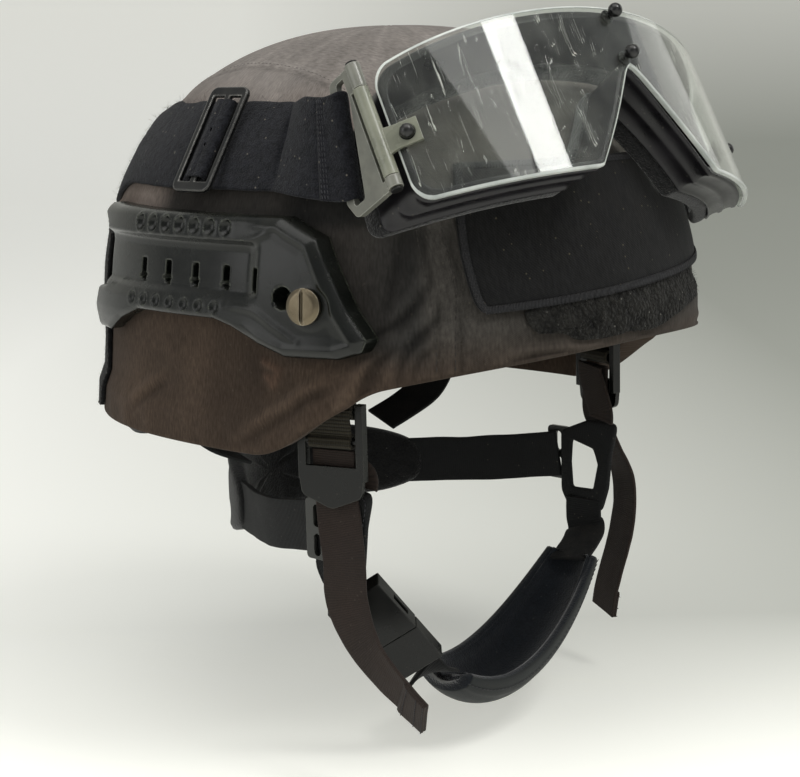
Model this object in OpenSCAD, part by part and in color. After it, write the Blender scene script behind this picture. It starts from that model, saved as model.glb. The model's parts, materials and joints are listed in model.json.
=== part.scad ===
// Ballistic helmet with side rails, goggles and a four-point chin harness.
// Origin: the head seat, level with the front brim, on the helmet's centre line.
// The front faces -Y, the wearer's right side is -X and the crown is +Z.

/* [Shell] */
// Half of the width over the fabric cover
half_width = 119; // [114:1:124]
// Length over the cover in front of the origin
front_length = 140; // [136:1:144]
// Length over the cover behind the origin
back_length = 144; // [138:1:148]
// Height of the crown over the brim
crown_height = 134; // [130:1:138]
// Thickness of the ballistic shell
shell_wall = 8; // [6:0.5:9]
// Height of the brim at the front centre
brim_height = 1.5; // [0:0.5:3]
// How far the edge falls from the brim to the temple
temple_drop = 17; // [14:1:20]
// How much further it falls over the ear
ear_drop = 27; // [23:1:30]
// How far the edge flares out at the nape
nape_flare = 3; // [0:0.5:5]

/* [Cover] */
// Thickness of the cover's cloth
cover_wall = 1.2; // [0.8:0.1:1.6]
// Height of the hem that is turned inside
hem_height = 12; // [8:1:13]
// Thickness of the loop cloth and of the front patch
patch_wall = 2; // [1.5:0.1:2.2]
// Half angle that the front patch covers
patch_spread = 36; // [28:1:38]
// Height of the patch's lower edge
patch_low = 20; // [17:1:24]
// Height of the front patch
patch_tall = 56; // [46:1:60]
// Height of the loop field under the patch
field_tall = 15; // [12:1:16]
// Height of the loop panel at the back
panel_tall = 84; // [70:1:90]
// Half angle that the back panel covers
panel_spread = 48; // [40:1:49]

/* [Pads] */
// Thickness of the comfort pads
pad_thick = 19; // [14:1:22]
// Diameter of the crown pad
crown_pad_d = 120; // [100:2:126]
// Length of a side pad
side_pad_l = 74; // [60:2:78]
// Height of a side pad
side_pad_h = 50; // [40:2:54]

/* [Rails] */
// Length of a rail from its nose to its tail
rail_length = 170; // [164:1:176]
// Height of a rail's top edge
rail_top = 58; // [56:0.5:60]
// Height of a rail's nose
rail_low = 1; // [0:0.5:3]
// How far a rail stands off the cover
rail_depth = 10; // [9:0.5:10.5]
// Number of accessory slots in a rail
slot_count = 5; // [3:1:5]
// Distance between slots
slot_pitch = 18.5; // [17.5:0.5:19]
// Diameter of the rail screw's head
screw_head_d = 15; // [12:0.5:16]
// Diameter of the free hole beside the screw
free_hole_d = 8.5; // [7:0.5:9]

/* [Goggles] */
// Half width of the lens
lens_half = 100; // [96:1:102]
// Depth of the lens curve
lens_bow = 45; // [42:1:48]
// Lens height above its centre line
lens_rise = 38; // [34:1:40]
// Lens height below its centre line
lens_fall = 36; // [32:1:38]
// Thickness of the lens
lens_wall = 2.4; // [2:0.1:3]
// Thickness of the seal foam
foam_thick = 8; // [6:0.5:10]
// How far the goggles lean back
goggle_lean = 32; // [30:1:34]
// How far the goggles are turned to the side where they are parked
goggle_yaw = -6; // [-7:1:0]
// How far one end of the goggles sits higher where they are parked
goggle_roll = 5; // [0:1:6]
// How far the parked goggles sit below the crown
goggle_below = 28; // [26:1:30]
// Distance of the parked lens in front of the cover
goggle_ahead = 2; // [0:1:6]
// Width of the elastic strap
elastic_w = 38; // [34:1:40]
// Thickness of the elastic strap
elastic_t = 2.4; // [1.8:0.2:2.6]

/* [Harness] */
// Width of the chin webbing
web_w = 20; // [16:1:22]
// Thickness of the chin webbing
web_t = 1.6; // [1.2:0.1:2]
// Height of a ladder lock
lock_h = 42; // [38:1:44]
// Thickness of a ladder lock's frame
lock_t = 4; // [3:0.5:5]
// Depth of the chin cup
cup_depth = 19; // [15:1:20]
// Width of the chin cup from front to back
cup_w = 40; // [34:1:42]
// Length of the nape pad
nape_w = 132; // [120:2:136]
// Height of the nape pad
nape_h = 42; // [36:1:44]

/* [Fit] */
// Clearance between pieces that lie on each other
gap = 0.3; // [0.25:0.05:0.4]

/* [Hidden] */
$fn = 48;
eps = 0.01;
plan_power = 2.25;
side_power = 2.3;
shell_top = -cover_wall - gap;
shell_bottom = shell_top - shell_wall;
liner = shell_bottom - 1.1;
columns = 40;

// Easing from 0 to 1 and simple blends
function ease(x) = let (t = max(0, min(1, x))) t * t * (3 - 2 * t);
function mix(a, b, t) = a + (b - a) * t;
function unit(v) = v / norm(v);
function total(list) = list * [for (v = list) 1];
function flat(rows) = [for (row = rows) for (p = row) p];
function middle(row) = [for (axis = [0:2]) total([for (p = row) p[axis]]) / len(row)];

// The dome: a squared oval in plan and in section
function half_length(phi) = sin(phi) < 0 ? front_length : back_length;
function from_front(phi) = let (d = abs(phi + 90 - 360 * floor((phi + 90) / 360))) min(d, 360 - d);
function rim(phi) = let (d = from_front(phi), brow = 57)
    brim_height - temple_drop * pow(min(d, brow) / brow, 2) - ear_drop * ease((d - 50) / 28);
function flare(phi, z) = nape_flare * ease((from_front(phi) - 95) / 45) * ease(-z / 45);
function plan_radius(phi, off) = pow(
    pow(abs(cos(phi)) / (half_width + off), plan_power)
    + pow(abs(sin(phi)) / (half_length(phi) + off), plan_power), -1 / plan_power);
function draw_in(z, off) = z <= 0 ? 1
    : pow(1 - pow(min(1, z / (crown_height + off)), side_power), 1 / side_power);
function dome(phi, z, off) = let (r = plan_radius(phi, off) * draw_in(z, off) + flare(phi, z))
    [r * cos(phi), r * sin(phi), z];
function dome_height(x, y, off) = let (a = y < 0 ? front_length : back_length,
    s = pow(pow(abs(x) / (half_width + off), plan_power) + pow(abs(y) / (a + off), plan_power),
        side_power / plan_power)) (crown_height + off) * pow(1 - s, 1 / side_power);
function facing(phi, z) = let (p = dome(phi, z, 0), a = half_length(phi),
    u = abs(p.x) / half_width, v = abs(p.y) / a,
    k = pow(pow(u, plan_power) + pow(v, plan_power), side_power / plan_power - 1))
    unit([k * sign(p.x) * pow(u, plan_power - 1) / half_width,
        k * sign(p.y) * pow(v, plan_power - 1) / a,
        z <= 0 ? 0 : pow(z / crown_height, side_power - 1) / crown_height]);

// Closed meshes: faces are turned outward by the sign of the volume that they enclose
function volume(points, faces) = total([for (f = faces)
    points[f[0]] * cross(points[f[1]], points[f[2]])]);
function outward(points, faces) = volume(points, faces) < 0 ? faces
    : [for (f = faces) [f[0], f[2], f[1]]];
function quads(n, m, wrap_n, wrap_m, base) = [
    for (i = [0:n - (wrap_n ? 1 : 2)]) for (j = [0:m - (wrap_m ? 1 : 2)])
        let (a = i * m + j, b = i * m + (j + 1) % m,
            c = (i + 1) % n * m + (j + 1) % m, d = (i + 1) % n * m + j)
        each [[base + a, base + b, base + c], [base + a, base + c, base + d]]];

// A tube through rings of equal count, closed by a fan at each end or joined into a loop
module tube(rings, loop = false) {
    n = len(rings);
    m = len(rings[0]);
    points = concat(flat(rings), loop ? [] : [middle(rings[0]), middle(rings[n - 1])]);
    faces = concat(quads(n, m, loop, true, 0), loop ? [] : [for (j = [0:m - 1]) each [
        [n * m, (j + 1) % m, j],
        [n * m + 1, (n - 1) * m + j, (n - 1) * m + (j + 1) % m]]]);
    polyhedron(points, outward(points, faces), convexity = 8);
}

// A sheet between two grids of points
module slab(outer, inner) {
    n = len(outer);
    m = len(outer[0]);
    base = n * m;
    points = concat(flat(outer), flat(inner));
    faces = concat(quads(n, m, false, false, 0),
        [for (f = quads(n, m, false, false, base)) [f[0], f[2], f[1]]],
        [for (i = [0:n - 2]) let (a = i * m, b = a + m, c = a + m - 1, d = b + m - 1) each [
            [a, b, base + b], [a, base + b, base + a],
            [c, base + d, d], [c, base + c, base + d]]],
        [for (j = [0:m - 2]) let (a = j, b = a + 1, c = (n - 1) * m + j, d = c + 1) each [
            [a, base + b, b], [a, base + a, base + b],
            [c, d, base + d], [c, base + d, base + c]]]);
    polyhedron(points, outward(points, faces), convexity = 8);
}

// A flat strip along route points [place, direction of its width]
function spline(p, q, r, s, t) = 0.5 * (2 * q + (r - p) * t + (2 * p - 5 * q + 4 * r - s) * t * t
    + (3 * q - p - 3 * r + s) * t * t * t);
function smooth(list, steps) = let (last = len(list) - 1) [
    for (i = [0:last - 1]) for (k = [0:steps - 1])
        spline(list[max(0, i - 1)], list[i], list[i + 1], list[min(last, i + 2)], k / steps),
    list[last]];
function strip_rings(places, sides, w, t) = let (last = len(places) - 1) [
    for (i = [0:last])
        let (along = unit(places[min(last, i + 1)] - places[max(0, i - 1)]),
            up = unit(cross(along, sides[i])), across = unit(cross(up, along)) * w / 2,
            lift = up * t / 2)
        [places[i] - across - lift, places[i] + across - lift,
            places[i] + across + lift, places[i] - across + lift]];
module strip(places, sides, w, t, steps = 4) {
    tube(strip_rings(smooth(places, steps), smooth(sides, steps), w, t));
}

// The right side is built in place and the left is its mirror image
module sided(side) {
    mirror([side == "left" ? 1 : 0, 0, 0]) children();
}

// Puts +Z along the dome's outward direction and +X down the dome
module on_dome(phi, z, off) {
    n = facing(phi, z);
    translate(dome(phi, z, 0) + n * off) rotate([0, 90 - asin(n.z), atan2(n.y, n.x)]) children();
}

// Levels of the dome from the edge to near the pole; the second and third bound the hem's step
level_count = 12;
level_split = 5;
band_top = 30;
step_low = 14;
step_high = 22;
pole_angle = 86;
function level_z(phi, i, off, lift) = i == 0 ? rim(phi) + lift
    : i == 1 ? rim(phi) + step_low
    : i <= level_split ? mix(rim(phi) + step_high, band_top, (i - 2) / (level_split - 2))
    : let (start = asin(band_top / (crown_height + off)),
        t = (i - level_split) / (level_count - level_split))
        (crown_height + off) * sin(mix(start, pole_angle, t));
function level(i, off, lift) = [for (c = [0:columns - 1]) let (phi = c * 360 / columns)
    dome(phi, level_z(phi, i, off, lift), off)];
function edge_ring(off, lift) = [for (c = [0:columns - 1]) let (phi = c * 360 / columns)
    dome(phi, rim(phi) + lift, off)];

// Ballistic shell with its holes
trim_rise = 3;
screw_phi = -152.7;
screw_z = 21.6;
tail_phi = 150;
tail_z = 12;
barrel_d = 8;
screw_d = 5;
module fastener_hole(phi, z, d) {
    on_dome(phi, z, -shell_wall - 8) cylinder(d = d, h = shell_wall + 16);
}
module ballistic_shell() {
    color("#6f6a55") difference() {
        tube(concat(
            [for (i = [level_count:-1:0]) level(i, shell_top, trim_rise)],
            [for (i = [0:level_count]) level(i, shell_bottom, trim_rise)]));
        for (side = ["right", "left"]) sided(side) {
            fastener_hole(screw_phi, screw_z, barrel_d + 0.4);
            fastener_hole(tail_phi, tail_z, screw_d + 0.4);
        }
    }
}

// Rubber channel over the shell's edge
trim_wall = 1.4;
trim_leg = 9;
module edge_trim() {
    out = shell_top + gap + trim_wall;
    in = shell_bottom - gap - trim_wall;
    profile = [[out, trim_rise + trim_leg], [out, trim_rise - trim_wall - gap],
        [in, trim_rise - trim_wall - gap], [in, trim_rise + trim_leg],
        [in + trim_wall, trim_rise + trim_leg], [in + trim_wall, trim_rise - gap],
        [out - trim_wall, trim_rise - gap], [out - trim_wall, trim_rise + trim_leg]];
    color("#1d1d1c") tube([for (c = [0:columns - 1]) let (phi = c * 360 / columns)
        [for (p = profile) dome(phi, rim(phi) + p[1], p[0])]], loop = true);
}

// Fabric cover: it follows the shell, turns under its edge and ends in a hem inside
hem_bulge = shell_top + 2 * gap + trim_wall + cover_wall + 0.4;
hem_in = shell_bottom - trim_wall - 2 * gap - 0.1;
function hem_lift(phi, z) = hem_bulge
    * max(0, min(1, (step_high - z + rim(phi)) / (step_high - step_low)));
function cover_ring(i, inset, lift) = [for (c = [0:columns - 1])
    let (phi = c * 360 / columns, z = level_z(phi, i, -inset, lift))
    dome(phi, z, hem_lift(phi, z) - inset)];
module fabric_cover() {
    under = trim_rise - trim_wall - 3 * gap;
    color("#4b423d") difference() {
        tube(concat(
            [for (i = [level_count:-1:0]) cover_ring(i, 0, 1)],
            [edge_ring(hem_bulge - 0.6, under - cover_wall),
                edge_ring(hem_in - cover_wall, under - cover_wall),
                edge_ring(hem_in - cover_wall, hem_height), edge_ring(hem_in, hem_height),
                edge_ring(hem_in, under), edge_ring(hem_bulge - cover_wall - 0.1, under)],
            [for (i = [0:level_count]) cover_ring(i, cover_wall, 1.4)]));
        for (side = ["right", "left"]) sided(side) {
            fastener_hole(screw_phi, screw_z, barrel_d + 0.4);
            fastener_hole(tail_phi, tail_z, screw_d + 0.4);
        }
    }
}

// A cloth patch on the dome between two headings and two heights
function over_cover(phi, z, off) = dome(phi, z, hem_lift(phi, z) + off);
function patch_face(from, to, low, tall, off, across, up) = [for (i = [0:across])
    [for (j = [0:up]) over_cover(mix(from, to, i / across), low + tall * j / up, off)]];
module dome_patch(from, to, low, tall, wall, across, up) {
    slab(patch_face(from, to, low, tall, patch_gap + wall, across, up),
        patch_face(from, to, low, tall, patch_gap, across, up));
}
patch_gap = gap + 0.15;
front_phi = -90;
back_phi = 90;
module front_patch() {
    color("#19181a") dome_patch(front_phi - patch_spread, front_phi + patch_spread,
        patch_low, patch_tall, patch_wall, 16, 6);
}
module front_loop_field() {
    low = patch_low - field_tall - gap;
    spread = patch_spread - 10;
    color("#232122") dome_patch(front_phi - spread, front_phi + spread,
        low, field_tall, patch_wall, 12, 3);
}
panel_low = -40;
module rear_loop_panel() {
    color("#141416") dome_patch(back_phi - panel_spread, back_phi + panel_spread,
        panel_low, panel_tall, patch_wall, 20, 12);
}

// Pads: soft bodies with a crowned face and drawn-in sides
pad_back = hem_in - cover_wall - gap;
pad_radius = 108;
function outline(a, w, h) = let (c = cos(a), s = sin(a),
    r = pow(pow(abs(c), 3) + pow(abs(s), 3), -1 / 3)) [r * c * w / 2, r * s * h / 2];
pad_rings = [[0.45, 0], [0.93, 0], [1, 0.2], [1, 0.65], [0.9, 0.93], [0.5, 1]];
crown_rings = concat([[0.15, 0]], pad_rings);
rim_bulge = 8;
function side_place(phi, z, a, depth) = let (turn = phi + a.x / pad_radius * 180 / PI,
    low = rim(turn) - 3 - z - a.y)
    dome(turn, z + a.y, pad_back - depth + rim_bulge * ease(low / 10));
module side_cushion(phi, z, w, h, thick) {
    tube([for (k = pad_rings) [for (j = [0:23])
        side_place(phi, z, k[0] * outline(j * 15, w, h), k[1] * thick)]]);
}
module crown_pad() {
    color("#26261f") tube([for (k = crown_rings) [for (j = [0:23])
        let (a = k[0] * outline(j * 15, crown_pad_d, crown_pad_d))
        [a.x, a.y, dome_height(a.x, a.y, pad_back - k[1] * pad_thick)]]]);
}
front_pad_z = 41;
front_pad_w = 110;
front_pad_h = 52;
rear_pad_z = -38;
rear_pad_w = 148;
rear_pad_h = 62;
module front_pad() {
    color("#26261f") side_cushion(front_phi, front_pad_z, front_pad_w, front_pad_h, pad_thick);
}
module rear_pad() {
    color("#17171a") side_cushion(back_phi, rear_pad_z, rear_pad_w, rear_pad_h, pad_thick);
}
side_pad_places = [[-158, 57], [142, 53]];
module side_pad(side, i) {
    place = side_pad_places[i];
    color("#26261f") sided(side) side_cushion(place[0], place[1], side_pad_l, side_pad_h, pad_thick);
}

// Hook discs that hold the pads to the shell, bent to its inner face
disc_d = 26;
disc_t = liner - pad_back - gap;
disc_rings = [[0.6, 0], [1, 0], [1, 1], [0.6, 1]];
function disc_point(k, j) = k * disc_d / 2 * [cos(j * 30), sin(j * 30)];
module hook_disc(phi, z) {
    tube([for (k = disc_rings) [for (j = [0:11]) let (a = disc_point(k[0], j))
        dome(phi + a.x / pad_radius * 180 / PI, z + a.y, liner - k[1] * disc_t)]]);
}
module crown_disc() {
    tube([for (k = disc_rings) [for (j = [0:11]) let (a = disc_point(k[0], j))
        [a.x, a.y, dome_height(a.x, a.y, liner - k[1] * disc_t)]]]);
}
module hook_discs() {
    color("#101010") {
        crown_disc();
        for (k = [-16, 16]) {
            hook_disc(front_phi + k, front_pad_z);
            hook_disc(back_phi + k, rear_pad_z + 25);
        }
        for (side = ["right", "left"]) sided(side)
            for (place = side_pad_places) hook_disc(place[0], place[1]);
    }
}

// Rail: a band along the side, cut to its outline, with a grooved face behind and a raised nose
rail_nose = -83;
rail_tail = rail_nose + rail_length;
rail_gap = gap + 0.2;
groove_depth = 4.6;
lip = rail_depth - 1;
rear_low = 5;
rear_face = [[rail_top, 2], [rail_top - 2, lip], [47, lip], [44.5, groove_depth],
    [24, groove_depth], [21, lip - 1], [12, lip], [rear_low, lip - 1]];
front_face = [[rail_top, 3], [rail_top - 5, rail_depth - 1], [47, rail_depth], [40, rail_depth],
    [24, rail_depth], [14, rail_depth], [6, rail_depth - 0.5], [rail_low, rail_depth - 4]];
function rail_ring(phi) = let (y = dome(phi, 30, 5).y, t = ease((y + 26) / -10))
    concat([for (k = [0:7]) dome(phi, mix(rear_face[k][0], front_face[k][0], t),
            mix(rear_face[k][1], front_face[k][1], t))],
        [for (k = [4:-1:0]) over_cover(phi, mix(rail_top, mix(rear_low, rail_low, t), k / 4), rail_gap)]);
module rail_outline() {
    polygon([[rail_tail - 3, 2], [rail_tail, 12], [rail_tail - 4, 21], [rail_tail - 12, 22],
        [rail_tail - 12, rail_top - 9], [rail_tail - 6, rail_top - 4], [rail_tail - 9, rail_top],
        [-44, rail_top - 1], [-61, 49], [-76, 20], [rail_nose, 9], [rail_nose + 2, 4],
        [-72, rail_low], [-49, rail_low], [-36, 6], [-22, 12], [-12, 14.5],
        [40, 14.5], [56, 9], [70, 2]]);
}
slot_start = -34;
slot_w = 3.2;
slot_low = 27;
slot_h = 9;
module accessory_rail(side) {
    color("#1a1b1c") sided(side) difference() {
        intersection() {
            tube([for (i = [0:30]) rail_ring(mix(-140, -222, i / 30))]);
            translate([-60, 0, 0]) rotate([90, 0, -90]) mirror([1, 0, 0])
                linear_extrude(90) rail_outline();
        }
        for (i = [0:slot_count - 1])
            translate([-half_width - 20, slot_start - slot_w / 2 + i * slot_pitch, slot_low])
                cube([60, slot_w, slot_h]);
        on_dome(screw_phi, screw_z, rail_depth - 1) cylinder(d = screw_head_d + 1.2, h = 12);
        on_dome(screw_phi, screw_z, -4) cylinder(d = screw_d + 0.5, h = 24);
        on_dome(screw_phi - 5, screw_z + 3.5, -4) cylinder(d = free_hole_d, h = 24);
        on_dome(tail_phi, tail_z, -4) cylinder(d = screw_d + 0.4, h = 4 + lip - 2);
    }
}

// Slotted screw and the post nut that it enters from outside
screw_head_h = 3.4;
module rail_screws() {
    rise = screw_head_h * 0.55;
    color("#8d8a84") for (side = ["right", "left"]) sided(side)
        on_dome(screw_phi, screw_z, rail_depth - 1 + gap) difference() {
            union() {
                cylinder(d = screw_head_d, h = rise);
                translate([0, 0, rise - eps])
                    cylinder(d1 = screw_head_d, d2 = screw_head_d - 5, h = screw_head_h - rise);
                translate([0, 0, -14]) cylinder(d = screw_d, h = 14 + eps);
            }
            translate([-screw_head_d, -0.9, screw_head_h - 1.6]) cube([2 * screw_head_d, 1.8, 3]);
        }
}
tab_t = 1.8;
tab_lay = 2;
head_lay = 0.9;
nut_flange_t = 2;
module post_nuts() {
    under = tab_lay + tab_t + head_lay + nut_flange_t;
    color("#3b3a36") for (side = ["right", "left"]) sided(side)
        on_dome(screw_phi, screw_z, shell_bottom - under) difference() {
            union() {
                cylinder(d = 14, h = nut_flange_t);
                cylinder(d = barrel_d, h = under + shell_wall + 0.5);
            }
            translate([0, 0, nut_flange_t]) cylinder(d = screw_d + 0.2, h = 30);
        }
}
module tail_screws() {
    head_h = 2.4;
    length = head_h + head_lay + tab_lay + tab_t - shell_bottom + lip - 4;
    color("#3b3a36") for (side = ["right", "left"]) sided(side)
        on_dome(tail_phi, tail_z, shell_bottom - tab_lay - tab_t - head_lay - head_h) {
            cylinder(d = 12, h = head_h);
            cylinder(d = screw_d, h = length);
        }
}

// Goggles: their own frame is X across, Y to the back and Z up along the lens
goggle_reach = front_length + goggle_ahead;
goggle_height = crown_height - goggle_below;
lens_turn = 63;
lens_a = lens_half / sin(lens_turn);
lens_b = lens_bow / (1 - cos(lens_turn));
function tilt_x(p, a) = [p.x, p.y * cos(a) - p.z * sin(a), p.y * sin(a) + p.z * cos(a)];
function turn_y(p, a) = [p.x * cos(a) + p.z * sin(a), p.y, p.z * cos(a) - p.x * sin(a)];
function turn_z(p, a) = [p.x * cos(a) - p.y * sin(a), p.x * sin(a) + p.y * cos(a), p.z];
function seated(p) = turn_z(turn_y(tilt_x(p, -goggle_lean) + [0, -goggle_reach, goggle_height],
    goggle_roll), goggle_yaw);
module seat() {
    rotate([0, goggle_roll, goggle_yaw]) translate([0, -goggle_reach, goggle_height])
        rotate([-goggle_lean, 0, 0]) children();
}
function visor(th, w, n) = let (k = norm([lens_b * sin(th), lens_a * cos(th)]))
    [(lens_a + n * lens_b / k) * sin(th),
        lens_b * (1 - cos(th)) - n * lens_a * cos(th) / k, w];
nose_turn = 18.5;
nose_height = 10;
nose_round = 2.4;
end_drop = 10;
end_lift = 5;
corner_r = 9;
function corner(th) = let (d = (1 - abs(th) / lens_turn) * 116)
    d < corner_r ? corner_r - sqrt(corner_r * corner_r - pow(corner_r - d, 2)) : 0;
function lens_top(th) = lens_rise - end_drop * pow(th / lens_turn, 2) - corner(th);
function nose_way(a) = norm([a, nose_round]) - nose_round;
function lens_low(th) = let (a = abs(th)) (a < nose_turn
    ? mix(nose_height, -lens_fall, pow(nose_way(a) / nose_way(nose_turn), 0.85))
    : -lens_fall + end_lift * pow((a - nose_turn) / (lens_turn - nose_turn), 2)) + corner(th);
lens_steps = 20;
function lens_th(i) = lens_turn * sin(90 * i / lens_steps);
stud_th = 59;
stud_w = -3;
stud_places = [[0, lens_rise - 3.5], [0, nose_height + 4.5], [-stud_th, stud_w], [stud_th, stud_w]];
stud_shank = 3.2;
module at_lens(th, w) {
    n = unit([lens_b * sin(th), -lens_a * cos(th), 0]);
    translate(visor(th, w, 0)) rotate([0, 90, atan2(n.y, n.x)]) children();
}
module goggle_lens() {
    rows = 5;
    color("#d9e2e6") difference() {
        slab([for (i = [-lens_steps:lens_steps]) let (th = lens_th(i)) [for (j = [0:rows])
                seated(visor(th, mix(lens_low(th), lens_top(th), j / rows), 0))]],
            [for (i = [-lens_steps:lens_steps]) let (th = lens_th(i)) [for (j = [0:rows])
                seated(visor(th, mix(lens_low(th), lens_top(th), j / rows), -lens_wall))]]);
        seat() for (p = stud_places) at_lens(p[0], p[1])
            translate([0, 0, -lens_wall - 2]) cylinder(d = stud_shank + 0.4, h = lens_wall + 4);
    }
}

// Studs that fasten the lens to the frame
module lens_stud() {
    translate([0, 0, 3.2]) sphere(d = 6);
    translate([0, 0, -lens_wall - 1]) cylinder(d = stud_shank, h = lens_wall + 4);
    translate([0, 0, -lens_wall - 1.2]) cylinder(d = 6, h = 1);
}
module lens_studs() {
    color("#151515") seat() for (p = stud_places) at_lens(p[0], p[1]) lens_stud();
}

// The frame and its foam run round the lens outline and back to a round body about the X axis
swept_bulge = 3;
swept_r = max(front_length, crown_height) + swept_bulge + gap + patch_wall + 1.2;
swept_half = half_width + 6;
function swept(x) = swept_r * pow(1 - pow(min(1, abs(x) / swept_half), plan_power), 1 / plan_power);
function rim_point(k, inset, n) = let (half = 2 * lens_steps, upper = k <= half,
    i = upper ? lens_steps - k : k - half - lens_steps,
    th = lens_th(i) * (1 - inset / 112))
    visor(th, upper ? lens_top(th) - inset : lens_low(th) + inset, n);
function drawn_back(p, clear) = let (r = norm([p.y, p.z]), s = swept(p.x) + clear)
    [p.x, p.y * s / r, p.z * s / r];
frame_wall = 2.6;
frame_inset = 1.5;
frame_front = -lens_wall - 1.5;
frame_skip = [for (k = [1:4 * lens_steps - 1]) if (k != 2 * lens_steps + 1) k];
module goggle_frame() {
    color("#121114") tube([for (k = frame_skip)
        let (a = seated(rim_point(k, frame_inset, frame_front)),
            b = seated(rim_point(k, frame_inset + frame_wall, frame_front)))
        [a, drawn_back(a, foam_thick + gap), drawn_back(b, foam_thick + gap), b]], loop = true);
}
module goggle_foam() {
    color("#1c1b1d") tube([for (k = frame_skip)
        let (a = seated(rim_point(k, frame_inset - 1, frame_front)),
            b = seated(rim_point(k, frame_inset + 2 * frame_wall, frame_front)))
        [drawn_back(a, foam_thick), drawn_back(a, 0),
            drawn_back(b, 0), drawn_back(b, foam_thick)]], loop = true);
}

// End clip: a sleeve for the plate's pin and a tongue that snaps on the lens stud
pin_x = lens_half + 3.5;
pin_y = lens_bow + 4;
pin_d = 3;
sleeve_d = 6.4;
sleeve_low = -17;
sleeve_high = 22;
module end_clip(side) {
    color("#5b5d55") seat() sided(side) difference() {
        union() {
            translate([-pin_x, pin_y, sleeve_low]) cylinder(d = sleeve_d, h = sleeve_high - sleeve_low);
            at_lens(-stud_th, stud_w) translate([-5, -5, 0.5]) cube([10, 10, 1.6]);
            hull() {
                at_lens(-stud_th, stud_w) translate([-5, -5.4, 0.5]) cube([10, 0.6, 1.6]);
                translate([-pin_x - 0.9, pin_y - 1, stud_w - 6]) cube([1.8, 1, 12]);
            }
        }
        translate([-pin_x, pin_y, -60]) cylinder(d = pin_d + 0.3, h = 120);
        at_lens(-stud_th, stud_w) translate([0, 0, -2]) cylinder(d = 6.6, h = 12);
    }
}

// A flat plate with round corners, its first corner at the origin
module rounded_plate(length, width, r) {
    translate([r, 0]) square([length - 2 * r, width]);
    translate([0, r]) square([length, width - 2 * r]);
    for (x = [r, length - r])
        for (y = [r, width - r]) translate([x, y]) circle(r);
}

// Loop plate: swings on the pin and carries the elastic strap on its rear bar, which leans
plate_t = 3;
plate_low = -22;
plate_high = 33;
plate_y0 = pin_y + 4.5;
bar_w = 4;
bar_low = [pin_y + 25, -16];
bar_high = [pin_y + 13, 29];
bar_slot = 7;
module plate_outline() {
    hull() {
        for (p = [[plate_y0 + 3, plate_low + 3], [bar_low.x - 3, plate_low + 3],
            [plate_y0 + 3, plate_high - 3], [bar_high.x - 1, plate_high - 3],
            [bar_low.x - 1, bar_low.y + 2]])
            translate(p) circle(3);
    }
}
module plate_slot() {
    hull() {
        for (p = [bar_low, bar_high]) translate([p.x - bar_w / 2 - 1.5, p.y]) circle(1.5);
        for (p = [bar_low, bar_high]) translate([p.x - bar_w / 2 - bar_slot + 1.5, p.y]) circle(1.5);
    }
}
module loop_plate(side) {
    knuckles = [[plate_low, sleeve_low - gap], [sleeve_high + gap, plate_high]];
    color("#3c3f42") seat() sided(side) difference() {
        union() {
            translate([-pin_x - plate_t / 2, 0, 0]) rotate([90, 0, 90])
                linear_extrude(plate_t) difference() {
                    plate_outline();
                    plate_slot();
                }
            for (k = knuckles) {
                translate([-pin_x, pin_y, k[0]]) cylinder(d = sleeve_d, h = k[1] - k[0]);
                translate([-pin_x - plate_t / 2, pin_y, k[0]]) cube([plate_t, 6, k[1] - k[0]]);
            }
        }
        translate([-pin_x, pin_y, -60]) cylinder(d = pin_d + 0.3, h = 120);
        translate([-pin_x, pin_y, sleeve_low - gap])
            cylinder(d = sleeve_d + 1, h = sleeve_high - sleeve_low + 2 * gap);
    }
}
pin_head_d = 5;
pin_head_h = 0.9;
module plate_pins() {
    end = pin_head_h + gap;
    length = plate_high - plate_low + 2 * end;
    color("#111111") seat() for (side = ["right", "left"]) sided(side)
        translate([-pin_x, pin_y, plate_low - end]) {
            cylinder(d = pin_d, h = length);
            cylinder(d = pin_head_d, h = pin_head_h);
            translate([0, 0, length - pin_head_h]) cylinder(d = pin_head_d, h = pin_head_h);
        }
}

// Elastic strap: its front ends stand at the plates' bars, the rest lies on the cover
function bar_end(side, up) = let (p = up ? bar_high : bar_low, in = up ? -1.5 : 1.5)
    seated([side * pin_x, p.x, p.y + in]);
contact_phi = 16;
back_mid = 63;
function bar_mid(side) = (bar_end(side, false).z + bar_end(side, true).z) / 2;
strap_low = rail_top + 1.8;
function side_mid(side) = max(bar_mid(side), strap_low + elastic_w / 2 * edge_share);
function strap_mid(phi) = mix(side_mid(cos(phi) < 0 ? -1 : 1), back_mid,
    ease((sin(phi) - 0.6) / 0.4));
strap_off = gap;
edge_share = 0.93;
module goggle_strap() {
    steps = 34;
    function at(i, j, off) = let (phi = mix(180 + contact_phi, -contact_phi, i / steps))
        dome(phi, strap_mid(phi) + (j / 2 - 1) * elastic_w / 2 * edge_share, off);
    color("#151720") slab([for (i = [0:steps]) [for (j = [0:4]) at(i, j, strap_off + elastic_t)]],
        [for (i = [0:steps]) [for (j = [0:4]) at(i, j, strap_off)]]);
}

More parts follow.
